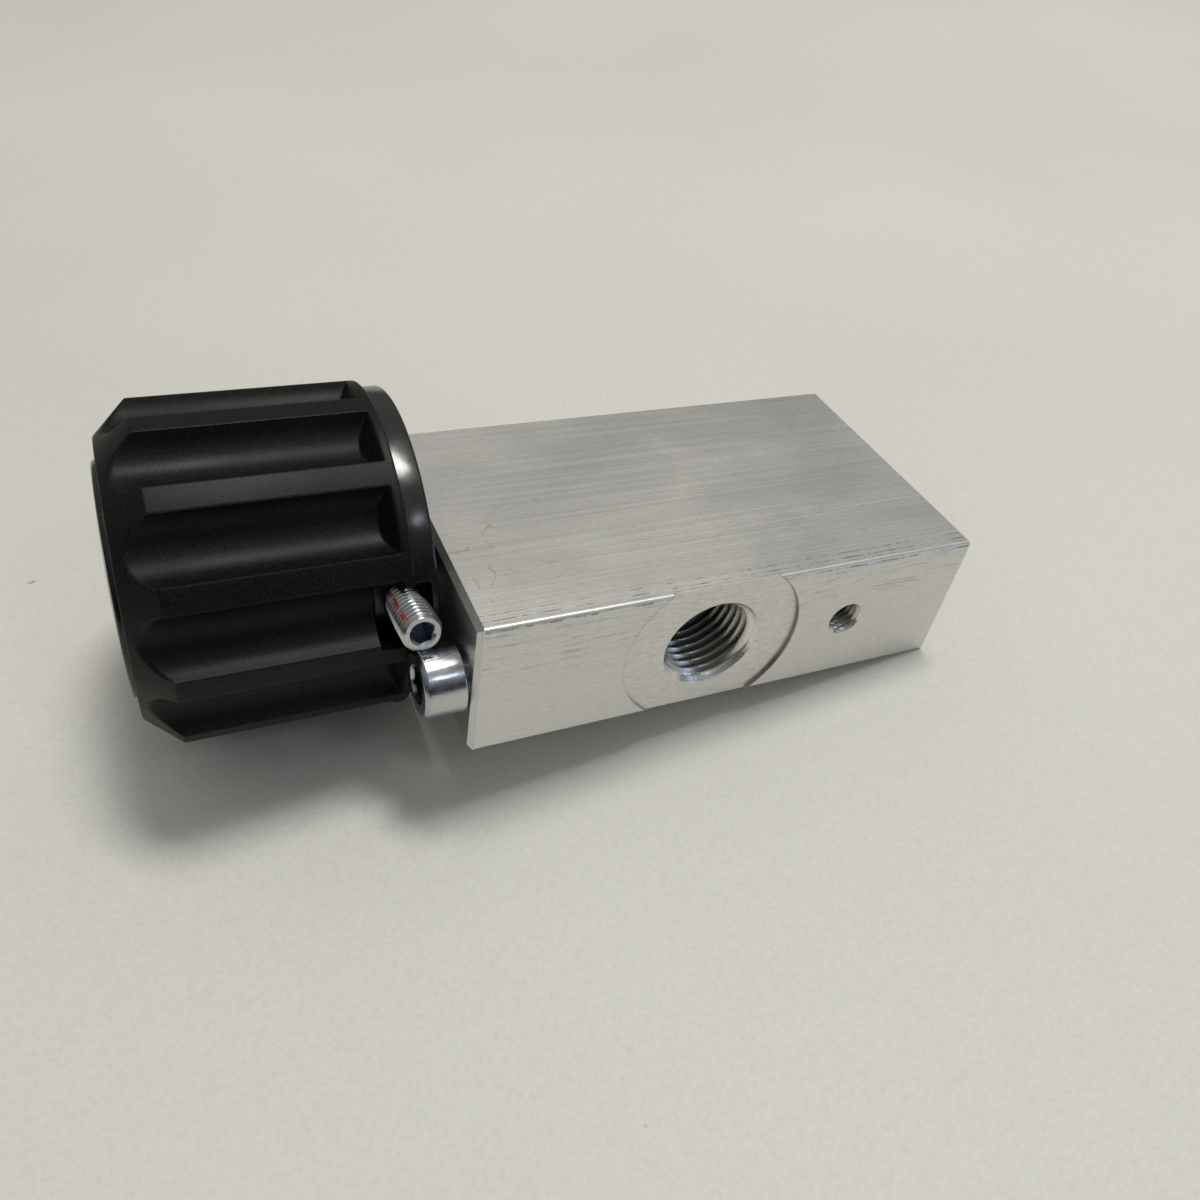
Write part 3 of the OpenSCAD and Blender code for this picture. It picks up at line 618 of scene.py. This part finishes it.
def set_screw():
    """Set screw with its real thread, bevelled ends and a hexagon socket."""
    end_r, steepness = M5_R - 0.42 * MM, 1.1
    crest_r = M5_R - 0.03 * MM

    def bevelled(along, radius):
        return min(radius, end_r + min(along, SET_L - along) * steepness)

    rows = thread_rows(M5_MINOR_R, crest_r, M5_PITCH, 0, SET_L, bevelled, columns=72)
    inner_end = [(0.0, 0.0, 0.0)] * len(rows[0])
    outer_end = [(0.0, 0.0, SET_L)] * len(rows[0])
    body = [inner_end] + rows + [outer_end]
    points = [point for row in body for point in row]
    piece = mesh_from("stop_set_screw_threaded", points, strip_faces(body), smooth_angle=50)
    hexagon_socket(piece, SET_FLATS, SET_SOCKET_DEPTH, SET_L, Matrix.Identity(4), math.radians(12))
    shade(piece.data, 42)
    piece.data.transform(Matrix.Translation((0, 0, SET_START)))
    piece.data.transform(radial(SET_ANGLE, SET_X))
    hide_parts("stop_set_screw")
    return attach(piece, TURNING)


def stop_screw():
    """Cap screw whose head is the stop, with rounded edges, a socket and a plain shank in the bar."""
    head_end, head_base = head_low.x, head_low.x + HEAD_H
    corners = [(head_end, 0, 0), (head_end, HEAD_R - HEAD_BEVEL, 0.3 * MM),
               (head_end + HEAD_BEVEL, HEAD_R, 0.35 * MM), (head_base, HEAD_R, 0.15 * MM),
               (head_base, M5_R, 0), (head_base + SHANK_L, M5_R, 0), (head_base + SHANK_L, 0, 0)]
    place = Matrix.Translation((0, STOP_Y, STOP_Z)) @ Matrix.Rotation(math.radians(90), 4, "Y")
    piece = lathe("stop_cap_screw", rounded_path(corners), Matrix.Identity(4), columns=128)
    facing_out = Matrix.Rotation(math.pi, 4, "X")
    hexagon_socket(piece, HEAD_FLATS, HEAD_SOCKET_DEPTH, -head_end, facing_out, math.radians(8))
    shade(piece.data, 35)
    piece.data.transform(place)
    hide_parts("stop_screw")
    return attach(piece, FIXED)


# ---------------------------------------------------------------- materials

# Scratches on the bar: angle to +X in degrees, length, width; and their share of it
SCRATCHES = ((75, 14 * MM, 0.14 * MM), (-20, 10 * MM, 0.12 * MM), (35, 8 * MM, 0.1 * MM))
SCRATCHED = 0.215
# Drawing lines near the top's front edge: distance from the edge, width
EDGE_LINES = ((0.8 * MM, 0.1 * MM), (1.4 * MM, 0.22 * MM), (2.4 * MM, 0.16 * MM))
# How deep the painted shade in the tapped holes gets with depth, in the order of their walls
PAINTED_DEPTH_SHADE = {"inlet_port": 0.6, "outlet_port": 0.6, "fixing_hole": 1.0}
# Radii in which the screws' sockets are darkened with painted shade
HEAD_SOCKET_R, SET_SOCKET_R = 2.45 * MM, 1.6 * MM


def lighter(colour, by):
    """A colour with the same amount added to each part."""
    return tuple(part + by for part in colour)


def hairlines(paint, angle, length, width):
    """Sparse straight scratches in the plane of the top, at an angle to +X."""
    turned = paint.node("ShaderNodeMapping", vector_type="TEXTURE")
    turned.inputs["Rotation"].default_value = (0, 0, math.radians(angle))
    turned.inputs["Scale"].default_value = (length, width, 1)
    paint.join(paint.point, turned.inputs["Vector"])
    streak = paint.node("ShaderNodeTexNoise")
    streak.inputs["Scale"].default_value = 1.0
    streak.inputs["Detail"].default_value = 1.0
    paint.join(turned.outputs["Vector"], streak.inputs["Vector"])
    return paint.remap(streak.outputs["Fac"], 1 - SCRATCHED, 1.03 - SCRATCHED)


def broken_line(paint, across, place, width, breaks):
    """A line along X at a place across it, broken up by a noise."""
    return paint.times(paint.remap(paint.off(across, place), 0.4 * width, 0.6 * width, 1.0, 0.0), breaks)


def scribbles(paint, patches):
    """Thin curved scratches by the knob: contour lines of a slow noise, where the patches are high."""
    slow = paint.noise((150, 150, 20), detail=1, distortion=1.2)
    x, y = paint.axial()[0:2]
    handled = paint.times(paint.remap(x, 16 * MM, 8 * MM), paint.remap(y, 4 * MM, -4 * MM),
                          paint.remap(patches, 0.46, 0.56))
    return paint.times(handled, paint.remap(paint.off(slow, 0.5), 0.003, 0.009, 1.0, 0.0))


def drawn_tone(paint, drawn, bands, grain):
    """The bare drawn surface: streaks along the bar, slow bands and a fine grain."""
    tone = paint.mix(paint.remap(drawn, 0.25, 0.75), (0.69, 0.685, 0.66), (0.78, 0.775, 0.75))
    tone = paint.mix(paint.remap(grain, 0.42, 0.66, 0.0, 0.35), tone, (0.52, 0.51, 0.48))
    return paint.mix(paint.remap(bands, 0.3, 0.7, 0.0, 0.3), tone, (0.66, 0.655, 0.63))


def bar_marks_and_edge_shade(paint, bands, patches, stain, on_top):
    """Straight scratches, the drawing lines on the top, scuffs high on the front face, and a line of painted shade
    just under the front face's top edge.
    """
    y, z = paint.axial()[1:3]
    marks = paint.remap(bands, 0.7, 0.73, 0.0, 0.5)
    for angle, length, width in SCRATCHES:
        marks = paint.math("MAXIMUM", marks, hairlines(paint, angle, length, width))
    marks = paint.times(marks, paint.remap(patches, 0.4, 0.6))
    gaps = paint.remap(paint.noise((330, 60, 60), detail=4, roughness=0.8), 0.47, 0.58)
    for from_edge, width in EDGE_LINES:
        line = broken_line(paint, y, bar_low.y + from_edge, width, gaps)
        marks = paint.math("MAXIMUM", marks, paint.times(line, on_top))
    rubbed = paint.remap(paint.noise((110, 1900, 1900), detail=4, roughness=0.7), 0.53, 0.66, 0.0, 0.65)
    rubbed = paint.times(rubbed, paint.remap(z, -1 * MM, 5 * MM, 0.12, 1.0),
                         paint.remap(stain, 0.38, 0.56, 0.1, 1.0))
    # A broken dark line of painted shade just under the top edge of the front face
    under_edge_shade = broken_line(paint, z, bar_high.z - 0.45 * MM, 0.3 * MM, gaps)
    on_front = paint.remap(paint.facing(1), 0.9, 0.95)
    return paint.math("MAXIMUM", marks,
                      paint.times(paint.math("MAXIMUM", rubbed, under_edge_shade), on_front))


def inlet_seat(paint, from_axis):
    """1 on the floor of the inlet's spot face, and 0 elsewhere."""
    y = paint.axial()[1]
    sunk = paint.remap(y, bar_low.y + SEAT_DEPTH * 0.8, bar_low.y + SEAT_DEPTH * 0.6, 1.0, 0.0)
    near = paint.remap(from_axis, SEAT_R * 1.01, SEAT_R * 1.03, 1.0, 0.0)
    return paint.times(sunk, near, paint.remap(paint.facing(1), 0.5, 0.8))


def seat_corner_shade(paint, from_axis, stain):
    """Painted shade with a brownish tint in the corner around the inlet's spot face."""
    y = paint.axial()[1]
    return paint.times(paint.remap(paint.off(from_axis, SEAT_R), 0.03 * MM, 0.14 * MM, 1.0, 0.0),
                       paint.remap(stain, 0.35, 0.6, 0.35, 0.85),
                       paint.remap(y, bar_low.y + SEAT_DEPTH * 1.4, bar_low.y + SEAT_DEPTH * 1.2))


def bar_paint():
    """Drawn aluminium with lines along its length, milled ends and a turned spot face at the inlet."""
    paint = Paint("body_aluminium", (0.74, 0.735, 0.71), metallic=1.0, roughness=0.4)
    drawn = paint.noise((18, 2600, 2600), detail=3, roughness=0.6)
    bands = paint.noise((5, 420, 420), detail=2, roughness=0.5)
    grain = paint.noise((900, 3500, 3500), detail=2)
    across = paint.noise((1200, 60, 1200), detail=3, roughness=0.6)
    stain = paint.noise((45, 60, 60), detail=3, distortion=0.6)
    patches = paint.noise((130, 420, 420), detail=3)
    on_end = paint.remap(paint.facing(0), 0.8, 0.95)
    on_top = paint.remap(paint.axial()[2], bar_high.z - 0.2 * MM, bar_high.z - 0.1 * MM)

    along = drawn_tone(paint, drawn, bands, grain)
    # These marks also carry the painted shade line under the front face's top edge
    marks = bar_marks_and_edge_shade(paint, bands, patches, stain, on_top)
    along = paint.mix(marks, along, (0.36, 0.345, 0.32))
    curls = paint.times(scribbles(paint, patches), on_top, 0.6)
    along = paint.mix(curls, along, (0.4, 0.34, 0.23))
    milled = paint.mix(paint.remap(across, 0.3, 0.7), (0.58, 0.58, 0.57), (0.7, 0.7, 0.69))
    colour = paint.mix(on_end, along, milled)

    inlet = mounts["inlet_port"]
    from_axis = around_axis(paint, Vector(inlet["pos_m"]), Vector(inlet["axis"]))[1]
    in_seat = inlet_seat(paint, from_axis)
    feed = 0.16 * MM
    turned = paint.math("SINE", paint.times(from_axis, 2 * math.pi / feed))
    seat_tone = paint.mix(paint.remap(grain, 0.35, 0.7), (0.74, 0.735, 0.71), (0.62, 0.61, 0.58))
    colour = paint.mix(in_seat, colour, seat_tone)
    # Painted shade, brownish, in the corner around the inlet's spot face
    colour = paint.mix(seat_corner_shade(paint, from_axis, stain), colour, (0.3, 0.265, 0.2))
    chips = paint.noise((900, 900, 900), detail=3, roughness=0.7)
    # Lighter edges: partly wear, partly a painted highlight along the corners
    worn_edge_highlight = paint.times(paint.edge_wear_and_highlight(0.1 * MM), paint.remap(chips, 0.42, 0.6, 0.05, 0.9))
    paint.colour(paint.mix(worn_edge_highlight, colour, (0.9, 0.9, 0.88)))

    rough = paint.remap(drawn, 0.25, 0.75, 0.36, 0.44)
    rough = paint.math("ADD", rough, paint.remap(stain, 0.45, 0.75, 0.0, 0.08))
    rough = paint.math("MULTIPLY_ADD", in_seat, -0.06, rough)
    paint.rough(paint.math("MULTIPLY_ADD", on_end, -0.08, rough))

    still_drawn = paint.math("SUBTRACT", 1.0, paint.math("MAXIMUM", on_end, in_seat))
    paint.bump(paint.times(drawn, still_drawn), 0.004 * MM)
    paint.bump(paint.times(marks, -1.0), 0.01 * MM)
    paint.bump(paint.times(across, on_end), 0.006 * MM)
    paint.bump(paint.times(turned, in_seat), 0.0012 * MM)
    paint.bump(grain, 0.002 * MM)
    return paint.material


def bore_paint(mount_name, depth_shade):
    """Tapped aluminium with fine tool marks and a film of oil: bright bare metal at the mouth, and inside
    darker tones of painted shade that deepen with depth by an amount."""
    paint = Paint(mount_name + "_aluminium", (0.45, 0.44, 0.42), metallic=1.0, roughness=0.22)
    mount = mounts[mount_name]
    marks = paint.noise((2500, 2500, 2500), detail=3)
    oil = paint.noise((260, 260, 260), detail=2)
    out = around_axis(paint, Vector(mount["pos_m"]), Vector(mount["axis"]))[0]
    bore_r = mount["dims"]["r_mm"] * MM
    # Painted shade: the inside gets darker tones than the bare aluminium at the mouth, varied by the oil noise
    inside = paint.mix(paint.remap(oil, 0.35, 0.65), (0.42, 0.405, 0.385), (0.54, 0.53, 0.51))
    # Painted shade that deepens towards the bottom of the hole, by the hole's amount
    shade_with_depth = paint.remap(out, 0.1 * MM, -1.3 * bore_r, 0.0, depth_shade)
    inside = paint.mix(shade_with_depth, inside, (0.08, 0.075, 0.068))
    mouth = paint.remap(out, -0.2 * MM, 0.15 * MM)
    paint.colour(paint.mix(mouth, inside, (0.78, 0.77, 0.74)))
    paint.rough(paint.remap(marks, 0.3, 0.7, 0.24, 0.34))
    paint.bump(marks, 0.0006 * MM)
    return paint.material


def moulded_paint(name, colour, rough_low, rough_high, grain_depth, specular, glint_speckles=0.0):
    """Moulded plastic with a spark-eroded grain, painted glints as lighter speckles, a little dust,
    and edges lightened partly by rubbing and partly as a painted highlight.
    """
    paint = Paint(name, colour, roughness=rough_high, Specular_IOR_Level=specular)
    texture = paint.noise((2600, 2600, 2600), detail=2, roughness=0.6)
    cloud = paint.noise((55, 120, 120), detail=3)
    dust = paint.noise((900, 900, 900), detail=4, roughness=0.7)
    tone = paint.mix(paint.remap(cloud, 0.35, 0.7), colour, tuple(c * 1.5 for c in colour))
    # Lighter speckles painted as the glints of the grain
    glint_speckle = paint.noise((4200, 4200, 4200), detail=1)
    tone = paint.mix(paint.remap(glint_speckle, 0.5, 0.72, 0.0, glint_speckles), tone, lighter(colour, 0.03))
    tone = paint.mix(paint.remap(dust, 0.68, 0.78, 0.0, 0.5), tone, lighter(colour, 0.02))
    # Lighter edges: partly rubbed, partly a painted highlight
    worn_edge_highlight = paint.times(paint.edge_wear_and_highlight(0.12 * MM), paint.remap(dust, 0.35, 0.6, 0.25, 1.0))
    paint.colour(paint.mix(worn_edge_highlight, tone, lighter(colour, 0.035)))
    paint.rough(paint.remap(cloud, 0.3, 0.7, rough_low, rough_high))
    paint.bump(texture, grain_depth)
    return paint.material


def gloss_black_paint():
    """Gloss black collar with fine turned lines around it, and lighter edges that are partly worn and partly a
    painted highlight.
    """
    paint = Paint("black_metal", (0.008, 0.008, 0.009), roughness=0.15, Specular_IOR_Level=0.6)
    rings = paint.node("ShaderNodeTexNoise", noise_dimensions="1D")
    rings.inputs["Scale"].default_value = 3200
    rings.inputs["Detail"].default_value = 3
    paint.join(paint.axial()[0], rings.inputs["W"])
    lines = rings.outputs["Fac"]
    smudge = paint.noise((220, 220, 220), detail=3)
    # Lighter edges: partly wear, partly a painted highlight
    worn_edge_highlight = paint.times(paint.edge_wear_and_highlight(0.15 * MM), 0.5)
    tone = paint.mix(paint.remap(lines, 0.35, 0.7), (0.004, 0.004, 0.0045), (0.014, 0.014, 0.015))
    paint.colour(paint.mix(worn_edge_highlight, tone, (0.12, 0.12, 0.12)))
    paint.rough(paint.remap(smudge, 0.3, 0.7, 0.14, 0.28))
    paint.bump(lines, 0.005 * MM)
    return paint.material


def metal_paint(name, colour, rough_low, rough_high, marks=(1800, 1800, 1800)):
    """Machined metal with tool marks, patchy roughness and brighter edges, partly worn and partly a painted
    highlight.
    """
    paint = Paint(name, colour, metallic=1.0, roughness=rough_high)
    tool = paint.noise(marks, detail=3, roughness=0.6)
    patch = paint.noise((240, 240, 240), detail=3)
    dark = tuple(c * 0.78 for c in colour)
    bright = tuple(min(1.0, c * 1.15) for c in colour)
    tone = paint.mix(paint.remap(patch, 0.3, 0.7), dark, colour)
    # Brighter edges: partly wear, partly a painted highlight
    worn_edge_highlight = paint.times(paint.edge_wear_and_highlight(0.1 * MM), paint.remap(patch, 0.3, 0.6, 0.3, 1.0))
    paint.colour(paint.mix(worn_edge_highlight, tone, bright))
    paint.rough(paint.remap(patch, 0.3, 0.7, rough_low, rough_high))
    paint.bump(tool, 0.002 * MM)
    return paint.material


def zinc_paint(name, socket, marks=(700, 2400, 2400), threadlocker=False):
    """Bright zinc plate with a faint bluish and straw tint and fine marks, red threadlocker if asked,
    and painted shade in a socket, given as (point on its axis at its mouth, axis out of it, radius)."""
    paint = Paint(name, (0.75, 0.77, 0.8), metallic=1.0, roughness=0.2)
    tint = paint.noise((420, 420, 420), detail=2)
    fine = paint.noise(marks, detail=3, roughness=0.6)
    tone = paint.mix(paint.remap(tint, 0.38, 0.62), (0.44, 0.47, 0.56), (0.54, 0.56, 0.53))
    # Lighter edges: partly wear, partly a painted highlight
    worn_edge_highlight = paint.times(paint.edge_wear_and_highlight(0.1 * MM), 0.6)
    tone = paint.mix(worn_edge_highlight, tone, (0.92, 0.92, 0.9))
    rough = paint.remap(fine, 0.3, 0.7, 0.13, 0.3)
    if threadlocker:
        # The thread's roots are made darker, near black
        tone = paint.mix(thread_root_mask(paint), tone, (0.1, 0.1, 0.1))
        red = threadlocker_mask(paint)
        tone = paint.mix(red, tone, (0.34, 0.06, 0.045))
        rough = paint.math("MULTIPLY_ADD", red, 0.25, rough)
        bare = paint.math("SUBTRACT", 1.0, paint.times(red, 0.75))
        paint.join(bare, paint.shader.inputs["Metallic"])
    # Painted shade darkening the inside of the socket
    paint.colour(paint.mix(socket_shade_mask(paint, *socket), tone, (0.2, 0.23, 0.29)))
    paint.rough(rough)
    paint.bump(fine, 0.003 * MM)
    return paint.material


def around_axis(paint, origin, axis):
    """How far out along an axis through a point, and how far from that axis."""
    offset = paint.vector("SUBTRACT", paint.point, origin)
    out = paint.vector("DOT_PRODUCT", offset, axis)
    return out, paint.vector("LENGTH", paint.vector("CROSS_PRODUCT", offset, axis))


def socket_shade_mask(paint, mouth, axis, radius):
    """1 inside a socket of that radius, below its mouth, where painted shade darkens it."""
    out, distance = around_axis(paint, mouth, axis)
    below = paint.remap(out, -0.5 * MM, -0.2 * MM, 1.0, 0.0)
    return paint.times(below, paint.remap(distance, radius, radius * 1.05, 1.0, 0.0))


def thread_root_mask(paint):
    """1 at the bottom of the set screw's thread, which is made darker, and 0 on its crests and end."""
    out, distance = around_axis(paint, SET_MOUTH, SET_OUT)
    root = paint.remap(distance, M5_R - 0.42 * MM, M5_R - 0.12 * MM, 1.0, 0.0)
    return paint.times(root, paint.remap(out, -1.0 * MM, -0.8 * MM, 1.0, 0.0))


def threadlocker_mask(paint):
    """Where the dried threadlocker shows: a broken stripe on the side away from the bar."""
    x = paint.axial()[0]
    up = Vector((0, math.cos(SET_ANGLE), math.sin(SET_ANGLE)))
    height = paint.vector("DOT_PRODUCT", paint.vector("SUBTRACT", paint.point, AXIS), up)
    side = paint.times(paint.remap(x, SET_X - 0.58 * M5_R, SET_X - 0.64 * M5_R),
                       paint.remap(x, SET_X - 0.82 * M5_R, SET_X - 0.76 * M5_R),
                       paint.remap(height, 0.1 * M5_R, 0.35 * M5_R))
    broken = paint.noise((700, 700, 700), detail=3, roughness=0.6)
    return paint.times(side, paint.remap(broken, 0.42, 0.5))


def rubber_paint(name, colour, roughness):
    """Seal material with a fine skin."""
    paint = Paint(name, colour, roughness=roughness)
    skin = paint.noise((1600, 1600, 1600), detail=3)
    paint.colour(paint.mix(paint.remap(skin, 0.3, 0.7), colour, tuple(c * 1.5 + 0.004 for c in colour)))
    paint.rough(paint.remap(skin, 0.3, 0.7, roughness - 0.1, roughness + 0.1))
    paint.bump(skin, 0.003 * MM)
    return paint.material


def floor_paint():
    """Off-white table top with a fine leathery texture and a few specks."""
    paint = Paint("floor", (0.78, 0.775, 0.755), roughness=0.75, Specular_IOR_Level=0.25)
    texture = paint.noise((420, 420, 420), detail=4, roughness=0.6)
    cloud = paint.noise((7, 7, 7), detail=2)
    specks = paint.noise((230, 230, 230), detail=2, roughness=0.8)
    weave = paint.noise((1500, 1500, 1500), detail=3, roughness=0.7)
    tone = paint.mix(paint.remap(cloud, 0.3, 0.7), (0.75, 0.742, 0.7), (0.81, 0.803, 0.76))
    tone = paint.mix(paint.remap(weave, 0.45, 0.7, 0.0, 0.35), tone, (0.62, 0.61, 0.565))
    paint.colour(paint.mix(paint.remap(specks, 0.8, 0.84, 0.0, 0.6), tone, (0.2, 0.17, 0.14)))
    paint.bump(texture, 0.05 * MM)
    return paint.material


def paint_all(piece, material):
    """Gives a piece one material."""
    piece.data.materials.clear()
    piece.data.materials.append(material)


# ---------------------------------------------------------------- build

aluminium = bar_paint()
steel = metal_paint("steel", (0.56, 0.57, 0.58), 0.18, 0.34, marks=(4000, 700, 700))
brass = metal_paint("brass", (0.72, 0.55, 0.27), 0.2, 0.36)
head_mouth = Vector((head_low.x, STOP_Y, STOP_Z))
zinc = zinc_paint("zinc_steel", (head_mouth, Vector((-1, 0, 0)), HEAD_SOCKET_R))
zinc_threaded = zinc_paint("zinc_threaded", (SET_MOUTH, SET_OUT, SET_SOCKET_R),
                           marks=(1500, 1500, 1500), threadlocker=True)
knob_plastic = moulded_paint("knob_plastic", (0.002, 0.002, 0.002), 0.4, 0.52, 0.02 * MM,
                             specular=0.2, glint_speckles=0.35)
cap_plastic = moulded_paint("cap_plastic", (0.005, 0.006, 0.005), 0.14, 0.24, 0.001 * MM, specular=0.5)
black_metal = gloss_black_paint()
rubber = rubber_paint("seal_rubber", (0.018, 0.018, 0.018), 0.55)
white_plastic = rubber_paint("white_plastic", (0.72, 0.71, 0.67), 0.4)
wiper_plastic = rubber_paint("wiper_plastic", (0.04, 0.2, 0.12), 0.45)

paint_all(bar(), aluminium)
for wall, (mount_name, depth_shade) in zip(tapped_walls(), PAINTED_DEPTH_SHADE.items()):
    paint_all(wall, bore_paint(mount_name, depth_shade))
paint_all(knob(), knob_plastic)
paint_all(cap(), cap_plastic)
paint_all(collar(), black_metal)
paint_all(set_screw(), zinc_threaded)
paint_all(stop_screw(), zinc)

CARRIED = {
    steel: ("throttle_sleeve", "spool_stop_ring", "compensator_spring", "spring_seat",
            "compensator_spool", "spindle"),
    brass: ("gland_bush", "thrust_washer"),
    zinc: ("knob_screw", "knob_washer"),
    rubber: ("sleeve_seals", "gland_seal", "spindle_seal"),
    white_plastic: ("backup_ring",),
    wiper_plastic: ("wiper_ring",),
}
for material, names in CARRIED.items():
    for name in names:
        paint_all(nodes[name], material)

# ---------------------------------------------------------------- floor, light and camera

# The bar's far lower edge and the knob's rear rim rest on the table
RIM_REST = 0.7 * MM
KNOB_REST = Vector((knob_high.x - RIM_REST, 0, -KNOB_R))
BAR_REST = Vector((bar_high.x, 0, bar_low.z))
FLOOR_ALONG = (BAR_REST - KNOB_REST).normalized()
FLOOR_UP = Vector((-FLOOR_ALONG.z, 0, FLOOR_ALONG.x))

# Lamps: name, direction from the object, distance, size, watts and colour
LAMPS = (
    ("overhead", (0.1, 0.07, 0.97), 1.2, (0.4, 0.24), 7.2, (1.0, 0.985, 0.93)),
    ("front", (0.24, -0.6, 0.76), 1.3, (0.22, 0.12), 0.6, (0.8, 0.88, 1.0)),
    ("window", (0.64, -0.68, 0.28), 1.2, (0.26, 0.26), 0.9, (0.62, 0.76, 1.0)),
)
LAMP_AIM = Vector((20 * MM, 0, 0))

# The room's bright side is overhead and a little behind the bar. Its tones, from the darker
# horizon up: height as the cosine to that side, colour
ROOM_LEAN = Vector((0, 0.25, 0))
ROOM_TONES = ((0.05, (0.04, 0.04, 0.042)), (0.75, (0.39, 0.385, 0.363)))

CAMERA_PLACE = Vector((-31.666, -97.126, 87.328)) * MM
CAMERA_AIM = Vector((21.29, -8.15, 0)) * MM
CAMERA_LENS = 31.05
CAMERA_ROLL = math.radians(0.64)


def floor():
    """A wide pale table under the object, gently uneven in tone."""
    half, cells = 3.0, 12
    side = FLOOR_UP.cross(FLOOR_ALONG)
    points = [BAR_REST + FLOOR_ALONG * half * (2 * i / cells - 1) + side * half * (2 * j / cells - 1)
              for i in range(cells + 1) for j in range(cells + 1)]
    width = cells + 1
    faces = [(i * width + j, (i + 1) * width + j, (i + 1) * width + j + 1, i * width + j + 1)
             for i in range(cells) for j in range(cells)]
    piece = mesh_from("table", [tuple(p) for p in points], faces)
    paint_all(piece, floor_paint())


def soft_light(name, direction, distance, size, watts, colour):
    """A rectangular soft light that looks at the object."""
    data = bpy.data.lights.new(name, "AREA")
    data.shape = "RECTANGLE"
    data.size, data.size_y = size
    data.energy = watts
    data.color = colour
    lamp = link(name, data)
    lamp.location = LAMP_AIM + Vector(direction).normalized() * distance
    lamp.rotation_euler = (LAMP_AIM - lamp.location).to_track_quat("-Z", "Y").to_euler()


def surroundings():
    """A plain room: darker near the horizon than overhead."""
    world = bpy.data.worlds.new("room")
    bpy.context.scene.world = world
    world.use_nodes = True
    tree = world.node_tree
    background = tree.nodes["Background"]
    place = tree.nodes.new("ShaderNodeTexCoord")
    up = tree.nodes.new("ShaderNodeVectorMath")
    up.operation = "DOT_PRODUCT"
    up.inputs[1].default_value = (FLOOR_UP + ROOM_LEAN).normalized()
    tree.links.new(place.outputs["Generated"], up.inputs[0])
    ramp = tree.nodes.new("ShaderNodeValToRGB")
    for stop, (position, colour) in zip(ramp.color_ramp.elements, ROOM_TONES):
        stop.position = position
        stop.color = (*colour, 1)
    tree.links.new(up.outputs["Value"], ramp.inputs["Fac"])
    tree.links.new(ramp.outputs["Color"], background.inputs["Color"])
    background.inputs["Strength"].default_value = 1.0


def camera():
    """A camera that stands nearly upright on the floor, as in the photograph."""
    data = bpy.data.cameras.new("camera")
    data.lens = CAMERA_LENS
    data.sensor_width = 36
    data.clip_start = 1 * MM
    view = link("camera", data)
    back = (CAMERA_PLACE - CAMERA_AIM).normalized()
    level = FLOOR_UP.cross(back).normalized()
    right = level * math.cos(CAMERA_ROLL) + back.cross(level) * math.sin(CAMERA_ROLL)
    up = back.cross(right)
    view.matrix_world = Matrix.Translation(CAMERA_PLACE) @ Matrix((right, up, back)).transposed().to_4x4()
    bpy.context.scene.camera = view


floor()
for lamp in LAMPS:
    soft_light(*lamp)
surroundings()
camera()
bpy.context.scene.view_settings.view_transform = "Standard"
